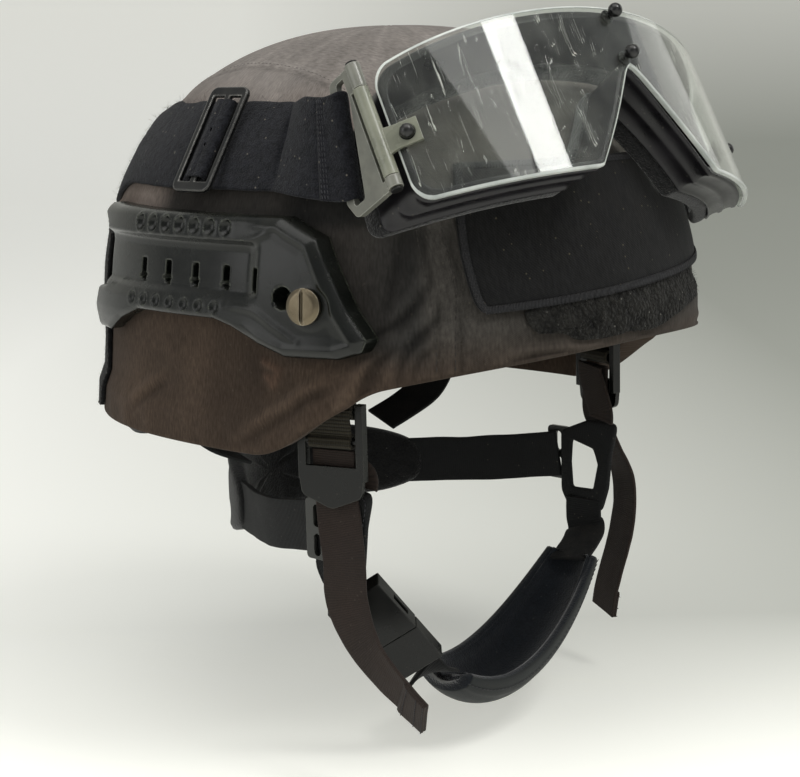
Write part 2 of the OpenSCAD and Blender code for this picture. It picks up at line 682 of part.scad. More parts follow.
// The free run between the cover and the plate, in the helmet's frame
fold_reach = 10;
run_bow = 5;
function run_edge(side, up) = let (phi = side < 0 ? 180 + contact_phi : -contact_phi,
    z = strap_mid(phi) + (up ? 1 : -1) * elastic_w / 2 * edge_share)
    [dome(phi, z, strap_off + elastic_t / 2), bar_end(side, up)];
function run_point(side, up, s, n) = let (e = run_edge(side, up), out = [side, 0, 0])
    mix(e[0], e[1], s) + out * (n + 0.5 + run_bow * sin(180 * s));
function fold_start(side) = 1 - fold_reach / norm(run_edge(side, true)[0] - run_edge(side, true)[1]);
run_margin = 0.02;
function run_face(side, n, steps) = [for (i = [0:steps])
    let (s = mix(run_margin, fold_start(side) - run_margin, i / steps))
        [for (j = [0:2]) mix(run_point(side, false, s, n), run_point(side, true, s, n), j / 2)]];
module strap_runs() {
    half = elastic_t / 2;
    color("#151720") for (k = [-1, 1]) slab(run_face(k, half, 5), run_face(k, -half, 5));
}
fold_t = 1.3;
fold_r = 2.9;
module strap_fold(side) {
    k = side == "left" ? 1 : -1;
    start = fold_start(k);
    function layer(s, n) = [for (up = [false, true]) run_point(k, up, s, n)];
    function ring(s, n0, n1) = let (a = layer(s, n0), b = layer(s, n1)) [a[0], a[1], b[1], b[0]];
    function turned(a, r, up) = let (p = up ? bar_high : bar_low, in = up ? -1.5 : 1.5)
        seated([k * (pin_x + r * cos(a)), p.x - r * sin(a), p.y + in]);
    function turn_ring(a) = [turned(a, fold_r, false), turned(a, fold_r, true),
        turned(a, fold_r + fold_t, true), turned(a, fold_r + fold_t, false)];
    color("#151720") tube(concat(
        [ring(start, 0.5, 0.5 + fold_t), ring(mix(start, 1, 0.3), 0.5, 0.5 + fold_t + 0.2)],
        [for (a = [0:30:180]) turn_ring(a)],
        [ring(mix(start, 1, 0.3), -0.5, -0.7 - fold_t), ring(start, -0.5, -0.5 - fold_t)]));
}

// Tri-glide: a metal frame with a middle bar, over the strap, with the strap's sewn end on the bar
glide_phi = 174.5;
glide_w = 24;
glide_h = 50;
glide_t = 2.4;
glide_rise = 1.6;
module tri_glide(side) {
    phi = side == "left" ? 180 - glide_phi : glide_phi;
    color("#2a2a2c") on_dome(phi, strap_mid(phi), strap_off + elastic_t + glide_rise)
        linear_extrude(glide_t) difference() {
            translate([-glide_h / 2, -glide_w / 2]) rounded_plate(glide_h, glide_w, 4);
            for (y = [-glide_w / 2 + 3, 1.6])
                translate([-glide_h / 2 + 4.5, y]) square([glide_h - 9, glide_w / 2 - 4.6]);
        }
}
module glide_fold(side) {
    phi = side == "left" ? 180 - glide_phi : glide_phi;
    half = elastic_w / 2 - 0.5;
    color("#151720") on_dome(phi, strap_mid(phi), strap_off + elastic_t + glide_rise)
        translate([half, 0, 0]) rotate([0, -90, 0]) linear_extrude(2 * half) difference() {
            translate([-1.1, -3.4]) rounded_plate(glide_t + 2.2, 6.8, 1.6);
            translate([-gap, -2]) square([glide_t + 2 * gap, 4]);
        }
}

// Harness, right side; its points are measured inward from the cover's side
function beside(inward, y, z) = [inward - half_width, y, z];
hanger_w = 22;
hem_clear = 4;
lock_w = hanger_w + 9;
lock_top = beside(23.6, -48.7, -24.9);
lock_turn = 197;
lock_uneven = [1.8, 0.5, 10];
bar_r = 1.6;
loop_r = bar_r + gap;
lock_side = [cos(lock_turn - 90), sin(lock_turn - 90), 0];
lock_out = [cos(lock_turn), sin(lock_turn), 0];
function lock_place(side) = lock_top + (side == "left" ? lock_uneven : [0, 0, 0]);
module at_lock(side) {
    translate(lock_place(side)) rotate([0, 0, lock_turn + 90]) children();
}

// Front hanger: clamped by the post nut, it falls inside the shell to a sewn loop
module front_hanger(side) {
    lay = shell_bottom - tab_lay - tab_t / 2;
    places = concat([for (z = [screw_z + 8, screw_z, screw_z - 8, 3])
            dome(screw_phi, z, lay - hem_clear * ease((8 - z) / 8))],
        [lock_place(side) + [0, 0, loop_r + 8], lock_place(side) + [0, 0, loop_r + 2.4]]);
    color("#1b1a19") sided(side) {
        difference() {
            strip(places, [for (p = places) lock_side], hanger_w, tab_t);
            fastener_hole(screw_phi, screw_z, barrel_d + 1);
        }
        at_lock(side) rotate([0, 90, 0]) difference() {
            cylinder(r = loop_r + tab_t, h = hanger_w, center = true);
            cylinder(r = loop_r, h = hanger_w + 2, center = true);
        }
    }
}

// Ladder lock: side rails, top bar in the hanger's loop, ladder bar and a tongue
module ladder_lock(side) {
    rail_w = 3.6;
    color("#131314") sided(side) at_lock(side) {
        rotate([0, 90, 0]) cylinder(r = bar_r, h = lock_w - 2, center = true);
        for (x = [-lock_w / 2, lock_w / 2 - rail_w])
            translate([x, -lock_t / 2, -lock_h + 12]) cube([rail_w, lock_t, lock_h - 12 + 3]);
        translate([0, 0, -13]) rotate([0, 90, 0]) cylinder(r = bar_r, h = lock_w - 2, center = true);
        translate([0, lock_t * 0.05, -lock_h]) rotate([90, 0, 0]) linear_extrude(lock_t * 0.55)
            hull() {
                translate([-lock_w / 2, 15]) square([lock_w, 3]);
                translate([-lock_w / 2 + 5, 8]) circle(4);
                translate([lock_w / 2 - 5, 8]) circle(4);
                translate([0, 6]) circle(6);
            }
    }
}

// Webbing turned over the ladder bar, moving with the lock
module lock_wrap(side) {
    color("#1b1a19") sided(side) at_lock(side) translate([0, 0, -13]) rotate([0, 90, 0]) difference() {
        cylinder(r = bar_r + gap + web_t, h = web_w, center = true);
        cylinder(r = bar_r + gap, h = web_w + 2, center = true);
    }
}

// Chin webbing: the free adjusting end outside and the loaded leg behind it
module chin_webbing(side) {
    strap_tail(side);
    chin_leg(side);
}
function leg_top(side, n) = lock_place(side) - lock_out * n + [0, 0, -17.2];
module strap_tail(side) {
    top = leg_top(side, 1.4);
    left = side == "left";
    past = top - lock_side * 1.2 + [left ? -0.3 : 0, 0, -27];
    near = [top, top + [0, 0, -12], past, beside(21.5, -55.5, -88), beside(22, -56, -106),
        beside(23, -62, -122), beside(24, -73, -134), beside(25, -87, -144), beside(25, -97, -150)];
    near_sides = [lock_side, lock_side, lock_side, lock_side, lock_side, [-0.05, 0.92, -0.38],
        [0.2, 0.75, -0.63], [0.35, 0.6, -0.72], [0.41, 0.52, -0.75]];
    far = [top, top + [0, 0, -12], past, beside(20.5, -52.5, -74), beside(16.5, -56.5, -88),
        beside(17, -58.5, -103), beside(18, -57, -118), beside(19, -53, -134), beside(20, -49, -150),
        beside(20, -47, -161)];
    far_sides = [for (i = [0:len(far) - 1]) i < 2 ? lock_side
        : i < 3 ? unit([-0.24, 0.97, 0]) : unit([-0.38, 0.92, 0])];
    color("#2a2220") sided(side)
        strip(left ? far : near, left ? far_sides : near_sides, web_w, web_t);
}

// The loaded part of the chin webbing, from the lock to the junction
junction_x = 31 - half_width;
leg_y = -55;
junction_t = 3;
leg_clear = 1.3;
module chin_leg(side) {
    top = leg_top(side, 1.4 + web_t + gap + leg_clear);
    low = [junction_x + leg_clear, leg_y, ring_top + 5.5];
    fall = [0, 0, -4.5];
    places = [top, top + fall, mix(top + fall, low, 0.5), low, low + fall];
    color("#161616") sided(side) strip(places, [for (p = places) lock_side], web_w - 2, web_t);
}

// Sewn junction: a flat ring of webbing that joins the three straps of one side
ring_top = -60;
ring_low = -106;
ring_back = -30;
ring_shift = -3.5;
module junction(side) {
    color("#151516") sided(side) translate([junction_x - junction_t / 2, 0, 0]) rotate([90, 0, 90])
        linear_extrude(junction_t) difference() {
            polygon([[-64.5, ring_top], [-46.5, ring_top], [ring_back, -67], [ring_back, -98],
                [-34.5, ring_low], [-54.5, ring_low], [-58.5, -94], [-60.5, -76]]);
            translate([ring_shift, 0])
                polygon([[-46, -74.5], [-33, -71], [-32, -83], [-33, -95.5], [-46, -95], [-49, -82]]);
        }
}

// Rear hanger: clamped by the tail screw, it falls inside to the nape pad
nape_y = 100;
nape_z = -88;
nape_curve = 52;
nape_half = 64;
function nape_place(a, depth) = let (bend = 2 * nape_curve * a.x / pow(nape_half, 2),
    k = norm([1, bend]), y = nape_y - nape_curve * pow(a.x / nape_half, 2))
    [a.x - depth * bend / k, y - depth / k, nape_z + a.y];
module rear_hanger(side) {
    inner = shell_bottom - tab_lay - tab_t / 2;
    places = [dome(tail_phi, tail_z + 12, inner), dome(tail_phi, tail_z, inner),
        dome(tail_phi, tail_z - 11, inner), dome(tail_phi, -22, inner - hem_clear),
        dome(tail_phi - 1, -38, inner - hem_clear), beside(40, 55, -54),
        nape_place([-54, nape_h / 2 + 0.6], 4)];
    tail_n = facing(tail_phi, tail_z);
    across = unit([-tail_n.y, tail_n.x, 0]);
    pad_side = [-0.576, -0.818, 0];
    color("#131314") sided(side) difference() {
        strip(places, [across, across, across, across, across, pad_side, pad_side], web_w, tab_t);
        fastener_hole(tail_phi, tail_z, screw_d + 1);
    }
}
nape_t = 9;
module nape_pad() {
    color("#121214") tube([for (k = pad_rings) [for (j = [0:23])
        nape_place(k[0] * outline(j * 15, nape_w, nape_h), k[1] * nape_t)]]);
}

// Rear strap: from the nape pad to the junction
rear_w = 23;
rear_t = 2.6;
rear_from = nape_place([-nape_w / 2, 0], 3.84);
rear_to = [junction_x, ring_back + gap + 2, -79.5];
module rear_strap(side) {
    color("#131314") sided(side) strip([rear_from, beside(39, 8, -85), rear_to],
        [[0.1, 0.1, 0.99], [0, 0.1, 1], [0, 0, 1]], rear_w, rear_t, 3);
}

// Adjuster: a plate with two oval holes, over the strap's end and the junction
adjuster_t = 2.4;
adjuster_l = 13;
adjuster_h = 27;
adjuster_y = -34.5;
adjuster_step = 8.5;
module rear_adjuster(side) {
    y = side == "left" ? adjuster_y + adjuster_step : adjuster_y;
    color("#161617") sided(side) translate([junction_x - junction_t / 2 - gap - adjuster_t, y, rear_to.z])
        rotate([90, 0, 90]) linear_extrude(adjuster_t) difference() {
            translate([-adjuster_l / 2, -adjuster_h / 2]) rounded_plate(adjuster_l, adjuster_h, 2);
            for (z = [-7, 6]) {
                translate([-2, z - 3]) square([4, 6]);
                for (k = [-3, 3]) translate([0, z + k]) circle(2);
            }
        }
}

// Side-release buckle on the right: +Z runs from the socket to the plug
buckle_top = beside(33.6, -48.2, -107.5);
buckle_end = beside(61, -60, -145);
buckle_way = unit(buckle_end - buckle_top);
buckle_w = 27;
buckle_t = 9;
buckle_roll = -62;
socket_l = 28;
plug_l = norm(buckle_end - buckle_top) - socket_l;
module at_buckle() {
    translate(buckle_top) rotate([0, acos(buckle_way.z), atan2(buckle_way.y, buckle_way.x)])
        rotate([0, 0, buckle_roll]) children();
}
face_wall = 1.8;
side_wall = 2.2;
prong_t = 4.4;
prong_w = 3.4;
prong_tip = 10;
module across_box(t, w, from, to) {
    translate([-t / 2, -w / 2, from]) cube([t, w, to - from]);
}
module prongs() {
    for (k = [-1, 1]) translate([0, k * (buckle_w / 2 - side_wall - 0.6 - prong_w / 2), 0])
        across_box(prong_t, prong_w, prong_tip, socket_l + 1);
    across_box(3.2, 3.6, prong_tip + 3, socket_l + 1);
}
module buckle_socket() {
    color("#101011") at_buckle() difference() {
        across_box(buckle_t, buckle_w, 0, socket_l);
        across_box(buckle_t - 2 * face_wall, buckle_w - 2 * side_wall, 7, socket_l + 7);
        for (k = [-1, 1]) translate([0, k * (buckle_w / 2 - 1), 0]) across_box(3.6, 4, 12, 22);
        translate([-buckle_t, -web_w / 2, 2.4]) cube([buckle_t + 1.5, web_w, 2.4]);
    }
}
module buckle_plug() {
    color("#121213") at_buckle() difference() {
        union() {
            across_box(buckle_t - 0.8, buckle_w, socket_l + gap, socket_l + plug_l);
            prongs();
        }
        translate([-buckle_t, -web_w / 2, socket_l + plug_l - 6]) cube([buckle_t + 1.5, web_w, 2.6]);
    }
}

// Chin cup: a padded cradle whose section is an arc, hung between two webbing ends
cup_right = beside(79, -61, -150);
cup_left = [half_width - 57, -55, -121];
cup_sag = [8, -57, -154];
cup_t = 4;
function cup_line(s) = let (q = 2 * cup_sag - 0.5 * cup_right - 0.5 * cup_left)
    (1 - s) * (1 - s) * cup_right + 2 * s * (1 - s) * q + s * s * cup_left;
function cup_ring(s) = let (open = pow(sin(180 * mix(0.1, 0.93, s)), 0.6),
    half = mix(web_w + 2, cup_w, open) / 2, deep = mix(1.5, cup_depth, open), c = cup_line(s),
    along = unit(cup_line(min(1, s + 0.02)) - cup_line(max(0, s - 0.02))),
    fall = unit(cross(along, [0.05, 1, 0.1])), down = fall.z < 0 ? fall : -fall,
    fore = unit(cross(fall, along)))
    concat([for (a = [-90:18:90]) c + fore * half * sin(a) + down * deep * cos(a)],
        [for (a = [90:-18:-90]) c + fore * (half - cup_t) * sin(a) + down * (deep * cos(a) - cup_t)]);
module chin_cup() {
    color("#15171d") tube([for (i = [0:18]) cup_ring(i / 18)]);
}
module cup_strap(side) {
    fore = [0.1, -1, 0];
    if (side == "left") {
        places = [[-junction_x, -44.5, ring_low - 0.6], [-junction_x, -44.5, ring_low - 4.6],
            cup_left + [24, 8.5, 6], cup_left + [15, 4.5, 3.5], cup_left + [2.5, 0.3, 2.2]];
        color("#161617") strip(places, [for (p = places) fore], web_w, web_t);
    } else {
        color("#161617") strip([buckle_end + buckle_way * 3.4, buckle_end + [8, -1, -4.5],
            cup_right + [-1.8, 0, 0.6]], [[0.55, -0.5, 0.6], [0.3, -0.8, 0.3], fore], web_w, web_t);
    }
}

ballistic_shell();
edge_trim();
fabric_cover();
rear_loop_panel();
front_patch();
front_loop_field();
crown_pad();
front_pad();
rear_pad();
side_pad("right", 0);  // side_pad_front_right
side_pad("right", 1);  // side_pad_rear_right
side_pad("left", 0);  // side_pad_front_left
side_pad("left", 1);  // side_pad_rear_left
hook_discs();
accessory_rail("right");  // accessory_rail_right
accessory_rail("left");  // accessory_rail_left
rail_screws();
post_nuts();
tail_screws();
goggle_lens();
lens_studs();
goggle_frame();
goggle_foam();
end_clip("right");  // end_clip_right
end_clip("left");  // end_clip_left
loop_plate("right");  // loop_plate_right
loop_plate("left");  // loop_plate_left
plate_pins();
goggle_strap();
strap_runs();
strap_fold("right");  // strap_fold_right
strap_fold("left");  // strap_fold_left
tri_glide("right");  // tri_glide_right
tri_glide("left");  // tri_glide_left
glide_fold("right");  // glide_fold_right
glide_fold("left");  // glide_fold_left
front_hanger("right");  // front_hanger_right
front_hanger("left");  // front_hanger_left
ladder_lock("right");  // ladder_lock_right
ladder_lock("left");  // ladder_lock_left
lock_wrap("right");  // lock_wrap_right
lock_wrap("left");  // lock_wrap_left
chin_webbing("right");  // chin_webbing_right
chin_webbing("left");  // chin_webbing_left
junction("right");  // junction_right
junction("left");  // junction_left
rear_hanger("right");  // rear_hanger_right
rear_hanger("left");  // rear_hanger_left
nape_pad();
rear_strap("right");  // rear_strap_right
rear_strap("left");  // rear_strap_left
rear_adjuster("right");  // rear_adjuster_right
rear_adjuster("left");  // rear_adjuster_left
buckle_socket();
buckle_plug();
cup_strap("right");  // cup_strap_right
cup_strap("left");  // cup_strap_left
chin_cup();
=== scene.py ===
import json
import math

import bmesh
import bpy
import numpy as np
from mathutils import Matrix, Vector


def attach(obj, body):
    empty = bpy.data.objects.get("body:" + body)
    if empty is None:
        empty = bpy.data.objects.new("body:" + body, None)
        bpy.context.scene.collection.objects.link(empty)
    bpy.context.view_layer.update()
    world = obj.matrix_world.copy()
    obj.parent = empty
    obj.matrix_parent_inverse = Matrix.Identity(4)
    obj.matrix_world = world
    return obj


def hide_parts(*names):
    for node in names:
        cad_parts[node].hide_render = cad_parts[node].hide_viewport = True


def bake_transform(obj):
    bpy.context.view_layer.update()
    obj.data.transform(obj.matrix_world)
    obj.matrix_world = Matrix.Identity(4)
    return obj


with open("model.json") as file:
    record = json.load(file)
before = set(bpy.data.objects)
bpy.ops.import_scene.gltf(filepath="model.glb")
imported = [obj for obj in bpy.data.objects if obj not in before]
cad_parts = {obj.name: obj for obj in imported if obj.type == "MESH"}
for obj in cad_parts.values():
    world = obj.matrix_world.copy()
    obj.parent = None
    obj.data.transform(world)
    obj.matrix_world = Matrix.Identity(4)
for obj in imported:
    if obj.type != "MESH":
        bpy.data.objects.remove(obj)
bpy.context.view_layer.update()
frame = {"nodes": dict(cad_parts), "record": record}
cadNodes = frame["nodes"]
scene = bpy.context.scene
mm = 0.001

cameraSetup = {
    "azimuth": -47.403,  # degrees, towards the wearer's right
    "elevation": 10.518,
    "roll": -1.418,
    "distance": 0.84382,
    "focal": 1769.68 / 800,  # in picture widths
    "target": (0.0, -0.000456, -0.035617),
}


def aimedAxes(azimuth, elevation, roll):
    a, e, r = (math.radians(x) for x in (azimuth, elevation, roll))
    back = Vector((math.sin(a) * math.cos(e), -math.cos(a) * math.cos(e), math.sin(e)))
    right = Vector((0, 0, 1)).cross(back).normalized()
    up = back.cross(right)
    return (right * math.cos(r) + up * math.sin(r), up * math.cos(r) - right * math.sin(r), back)


def makeCamera(setup):
    right, up, back = aimedAxes(setup["azimuth"], setup["elevation"], setup["roll"])
    data = bpy.data.cameras.new("photoCamera")
    data.sensor_fit = "HORIZONTAL"
    data.sensor_width = 36
    data.lens = 36 * setup["focal"]
    data.clip_start = 0.02
    data.clip_end = 30
    camera = bpy.data.objects.new("photoCamera", data)
    place = Vector(setup["target"]) + back * setup["distance"]
    camera.matrix_world = Matrix((
        (right.x, up.x, back.x, place.x),
        (right.y, up.y, back.y, place.y),
        (right.z, up.z, back.z, place.z),
        (0, 0, 0, 1),
    ))
    scene.collection.objects.link(camera)
    scene.camera = camera
    return back


viewBack = makeCamera(cameraSetup)
print("camera ready")


# small helpers for node trees, where a value is a number or another node's socket
def fill(tree, made, inputs):
    for key, value in inputs.items():
        if isinstance(value, bpy.types.NodeSocket):
            tree.links.new(value, made.inputs[key])
        else:
            made.inputs[key].default_value = value
    return made


def putNode(tree, kind, inputs=None, **settings):
    made = tree.nodes.new(kind)
    for key, value in settings.items():
        setattr(made, key, value)
    return fill(tree, made, inputs or {})


def calc(tree, operation, *values, clamp=False):
    inputs = dict(enumerate(values))
    return putNode(tree, "ShaderNodeMath", inputs, operation=operation, use_clamp=clamp).outputs[0]


def times(tree, *values, clamp=False):
    return calc(tree, "MULTIPLY", *values, clamp=clamp)


def plus(tree, *values, clamp=False):
    return calc(tree, "ADD", *values, clamp=clamp)


def mixColour(tree, factor, first, second, blend="MIX"):
    inputs = {0: factor, 6: first, 7: second}
    return putNode(tree, "ShaderNodeMix", inputs, data_type="RGBA", blend_type=blend).outputs[2]


def remap(tree, value, low, high, toLow=0.0, toHigh=1.0):
    return putNode(tree, "ShaderNodeMapRange", {
        "Value": value, "From Min": low, "From Max": high, "To Min": toLow, "To Max": toHigh,
    }).outputs[0]


def combine(tree, x=0.0, y=0.0, z=0.0):
    return putNode(tree, "ShaderNodeCombineXYZ", {0: x, 1: y, 2: z}).outputs[0]


def dot(tree, first, second):
    inputs = {0: first, 1: second}
    return putNode(tree, "ShaderNodeVectorMath", inputs, operation="DOT_PRODUCT").outputs["Value"]


def stretch(tree, vector, share):
    return putNode(tree, "ShaderNodeVectorMath", {0: vector, 3: share}, operation="SCALE").outputs[0]


def noise(tree, vector, scale, detail, rough=0.5, output="Fac"):
    inputs = {"Vector": vector, "Scale": scale, "Detail": detail, "Roughness": rough}
    return putNode(tree, "ShaderNodeTexNoise", inputs).outputs[output]


socketKinds = {float: "NodeSocketFloat", int: "NodeSocketInt"}


# an input is a number, or a kind of socket without a value; gives the group and its two ends' sockets
def newGroup(name, inputs, outputs, treeKind="ShaderNodeTree"):
    group = bpy.data.node_groups.new(name, treeKind)
    for label, value in inputs.items():
        kind = socketKinds.get(type(value), value)
        socket = group.interface.new_socket(label, in_out="INPUT", socket_type=kind)
        if kind != value:
            socket.default_value = value
    for label, kind in outputs.items():
        group.interface.new_socket(label, in_out="OUTPUT", socket_type=kind)
    return group, group.nodes.new("NodeGroupInput").outputs, group.nodes.new("NodeGroupOutput")


def shaderGroup(name, inputs, *outputs):
    kinds = {label: "NodeSocketVector" if label == "Normal" else "NodeSocketFloat" for label in outputs}
    return newGroup(name, {"Vector": "NodeSocketVector", **inputs}, kinds)


def useGroup(tree, group, inputs):
    return putNode(tree, "ShaderNodeGroup", inputs, node_tree=group).outputs


# sRGB from 0 to 255 as a linear colour
def tone(*levels):
    return tuple(c / 255 / 12.92 if c / 255 <= 0.04045 else ((c / 255 + 0.055) / 1.055) ** 2.4
                 for c in levels) + (1.0,)


# woven cloth: the vector is the piece's own UV map in metres
def makeWeave():
    group, given, out = shaderGroup("wovenCloth", {"Threads": 1250.0, "Streak": 0.6}, "Tone", "Height")
    apart = putNode(group, "ShaderNodeSeparateXYZ", {0: given["Vector"]})
    u, v = times(group, apart.outputs[0], given["Threads"]), times(group, apart.outputs[1], given["Threads"])
    warp, weft = calc(group, "SINE", times(group, u, 6.283)), calc(group, "SINE", times(group, v, 6.283))
    diagonal = calc(group, "SINE", times(group, plus(group, u, v), 3.1416))
    streak = noise(group, combine(group, times(group, u, 0.5), times(group, v, 0.1)), 1.0, 2.0, 0.6)
    slub = noise(group, combine(group, times(group, u, 0.9), times(group, v, 0.3), 4.0), 1.0, 1.0)
    streaked = remap(group, streak, 0.33, 0.68)
    crossed = plus(group, times(group, warp, 0.12), times(group, weft, 0.08))
    raised = plus(group, times(group, diagonal, 0.22), crossed)
    raised = plus(group, raised, times(group, slub, 0.5))
    fill(group, out, {
        "Tone": plus(group, times(group, streaked, given["Streak"]), times(group, raised, 0.35), clamp=True),
        "Height": plus(group, times(group, raised, 0.7), times(group, streaked, 0.15)),
    })
    return group


# napped cloth, loop pile and fluff: small tufts of a given size
def makePile():
    group, given, out = shaderGroup("tuftedPile", {"Tuft": 0.0012, "Clump": 0.5}, "Tone", "Height")
    scaled = stretch(group, given["Vector"], calc(group, "DIVIDE", 1.0, given["Tuft"]))
    warped = noise(group, scaled, 1.3, 2.0, output="Color")
    shifted = putNode(group, "ShaderNodeVectorMath", {0: scaled, 1: warped}, operation="ADD")
    cells = putNode(group, "ShaderNodeTexVoronoi", {"Vector": shifted.outputs[0], "Scale": 1.0})
    tufts = remap(group, cells.outputs["Distance"], 0.75, 0.1)
    clumped = remap(group, noise(group, scaled, 0.22, 3.0, 0.65), 0.3, 0.7)
    total = plus(group, times(group, tufts, 0.55), times(group, clumped, given["Clump"]))
    fill(group, out, {"Tone": times(group, total, 0.95, clamp=True), "Height": total})
    return group


# ribbed webbing: UV in metres, x across and y along the strap
def makeRibs():
    group, given, out = shaderGroup("ribbedWebbing", {"Pitch": 0.0016, "Grain": 0.5}, "Tone", "Height")
    apart = putNode(group, "ShaderNodeSeparateXYZ", {0: given["Vector"]}).outputs
    rowPhase = times(group, calc(group, "DIVIDE", apart[1], given["Pitch"]), 3.1416)
    columnPhase = times(group, calc(group, "DIVIDE", apart[0], given["Pitch"]), 4.6)
    rows = calc(group, "ABSOLUTE", calc(group, "SINE", rowPhase))
    columns = calc(group, "ABSOLUTE", calc(group, "SINE", columnPhase))
    fine = combine(group, times(group, apart[0], 2600.0), times(group, apart[1], 700.0), 1.0)
    raised = plus(group, times(group, rows, 0.6), times(group, columns, 0.25))
    raised = plus(group, raised, times(group, noise(group, fine, 1.0, 3.0), given["Grain"]))
    fill(group, out, {"Tone": times(group, raised, 0.7, clamp=True), "Height": raised})
    return group


# rounded, rubbed edges of hard pieces
def makeEdgeWear():
    group, given, out = shaderGroup("edgeWear", {"Radius": 0.0006, "Patchy": 0.5}, "Mask", "Normal")
    bevel = putNode(group, "ShaderNodeBevel", {"Radius": given["Radius"]}, samples=6).outputs[0]
    turned = dot(group, bevel, putNode(group, "ShaderNodeNewGeometry").outputs["Normal"])
    edge = remap(group, turned, 0.995, 0.86)
    rubbed = remap(group, noise(group, given["Vector"], 420.0, 4.0, 0.7), 0.4, 0.62)
    kept = plus(group, times(group, rubbed, given["Patchy"]), calc(group, "SUBTRACT", 1.0, given["Patchy"]))
    fill(group, out, {"Mask": times(group, edge, kept, clamp=True), "Normal": bevel})
    return group


# fine grain of a moulded surface, with large soft differences
def makeGrain():
    group, given, out = shaderGroup("mouldedGrain", {"Grain": 0.0006, "Patch": 0.02}, "Fine", "Broad")
    fine, broad = (noise(group, given["Vector"], calc(group, "DIVIDE", 1.0, given[size]), detail, 0.6)
                   for size, detail in (("Grain", 3.0), ("Patch", 4.0)))
    fill(group, out, {"Fine": fine, "Broad": remap(group, broad, 0.3, 0.7)})
    return group


# pale dust and lint that lies on what faces up
def makeDust():
    group, given, out = shaderGroup("settledDust", {"Cover": 0.4, "Specks": 0.5}, "Mask")
    normal = putNode(group, "ShaderNodeNewGeometry").outputs["Normal"]
    upward = remap(group, putNode(group, "ShaderNodeSeparateXYZ", {0: normal}).outputs[2], 0.1, 0.95)
    drift = remap(group, noise(group, given["Vector"], 90.0, 6.0, 0.7), 0.35, 0.75)
    lying = times(group, times(group, upward, drift), given["Cover"])
    cells = putNode(group, "ShaderNodeTexVoronoi", {"Vector": given["Vector"], "Scale": 210.0})
    speck = calc(group, "LESS_THAN", cells.outputs["Distance"], 0.09)
    fill(group, out, {"Mask": calc(group, "MAXIMUM", lying, times(group, speck, given["Specks"]))})
    return group


# hair-fine scratches on the clear lens: UV in metres
def makeScratches():
    group, given, out = shaderGroup("lensScratches", {}, "Mask", "Haze")
    total = None
    families = (0.35, 52.0, 0.007, 1.0), (-0.9, 74.0, 0.006, 5.0), (1.25, 42.0, 0.006, 9.0)
    for turn, scale, wide, seed in families:
        mapped = putNode(group, "ShaderNodeMapping", {
            "Vector": given["Vector"], "Rotation": (0, 0, turn), "Location": (seed, seed * 0.7, 0),
            "Scale": (scale * 5.0, scale * 0.45, 1),
        }).outputs[0]
        line = calc(group, "ABSOLUTE", calc(group, "SUBTRACT", noise(group, mapped, 0.7, 1.0), 0.5))
        thin = calc(group, "LESS_THAN", line, wide * 0.35)
        piece = times(group, thin, remap(group, noise(group, mapped, 1.9, 2.0), 0.56, 0.66))
        total = piece if total is None else calc(group, "MAXIMUM", total, piece)
    haze = remap(group, noise(group, given["Vector"], 60.0, 6.0, 0.75), 0.42, 0.75)
    fill(group, out, {"Mask": total, "Haze": haze})
    return group


weaveGroup = makeWeave()
pileGroup = makePile()
ribGroup = makeRibs()
wearGroup = makeEdgeWear()
grainGroup = makeGrain()
dustGroup = makeDust()
scratchGroup = makeScratches()


def startMaterial(name):
    made = bpy.data.materials.new(name)
    made.use_nodes = True
    tree = made.node_tree
    tree.nodes.clear()
    out = tree.nodes.new("ShaderNodeOutputMaterial")
    shader = tree.nodes.new("ShaderNodeBsdfPrincipled")
    tree.links.new(shader.outputs[0], out.inputs[0])
    return made, tree, shader, out


def placeVector(tree, source):
    if source == "object":
        return putNode(tree, "ShaderNodeTexCoord").outputs["Object"]
    return putNode(tree, "ShaderNodeUVMap", uv_map=source).outputs[0]


def setBump(tree, shader, height, strength, distance, **normal):
    inputs = {"Height": height, "Strength": strength, "Distance": distance, **normal}
    fill(tree, shader, {"Normal": putNode(tree, "ShaderNodeBump", inputs).outputs[0]})


# the base colour with dust on it; gives the dust's mask
def settleDust(tree, shader, base, place, dust, dustColour):
    mask = useGroup(tree, dustGroup, {"Vector": place, "Cover": dust[0], "Specks": dust[1]})["Mask"]
    fill(tree, shader, {"Base Color": mixColour(tree, mask, base, tone(*dustColour))})
    return mask


# cloth of a given weave; where a piece has a tint attribute it gives the base colour
def clothMaterial(name, dark, pale, threads=1250.0, streak=0.6, source="clothMap", tint=None, bump=0.5,
                  dust=(0.0, 0.0), dustColour=(150, 140, 120), sheen=0.3, deep=0.0004):
    made, tree, shader = startMaterial(name)[:3]
    vector = placeVector(tree, source)
    weave = useGroup(tree, weaveGroup, {"Vector": vector, "Threads": threads, "Streak": streak})
    if tint:
        base = putNode(tree, "ShaderNodeAttribute", attribute_name=tint).outputs["Color"]
        low = mixColour(tree, 1.0, base, tone(*dark), "MULTIPLY")
        high = mixColour(tree, 1.0, base, tone(*pale), "MULTIPLY")
        base = mixColour(tree, weave["Tone"], low, high)
    else:
        base = mixColour(tree, weave["Tone"], tone(*dark), tone(*pale))
    place = placeVector(tree, "object")
    broad = useGroup(tree, grainGroup, {"Vector": place, "Grain": 0.0008, "Patch": 0.035})
    base = mixColour(tree, remap(tree, broad["Broad"], 0, 1, 0.0, 0.28), base, (0.01, 0.01, 0.01, 1))
    settleDust(tree, shader, base, place, dust, dustColour)
    fill(tree, shader, {"Roughness": remap(tree, weave["Tone"], 0, 1, 0.95, 0.75), "Sheen Weight": sheen,
                        "Sheen Roughness": 0.45, "Specular IOR Level": 0.12})
    setBump(tree, shader, weave["Height"], bump, deep)
    return made


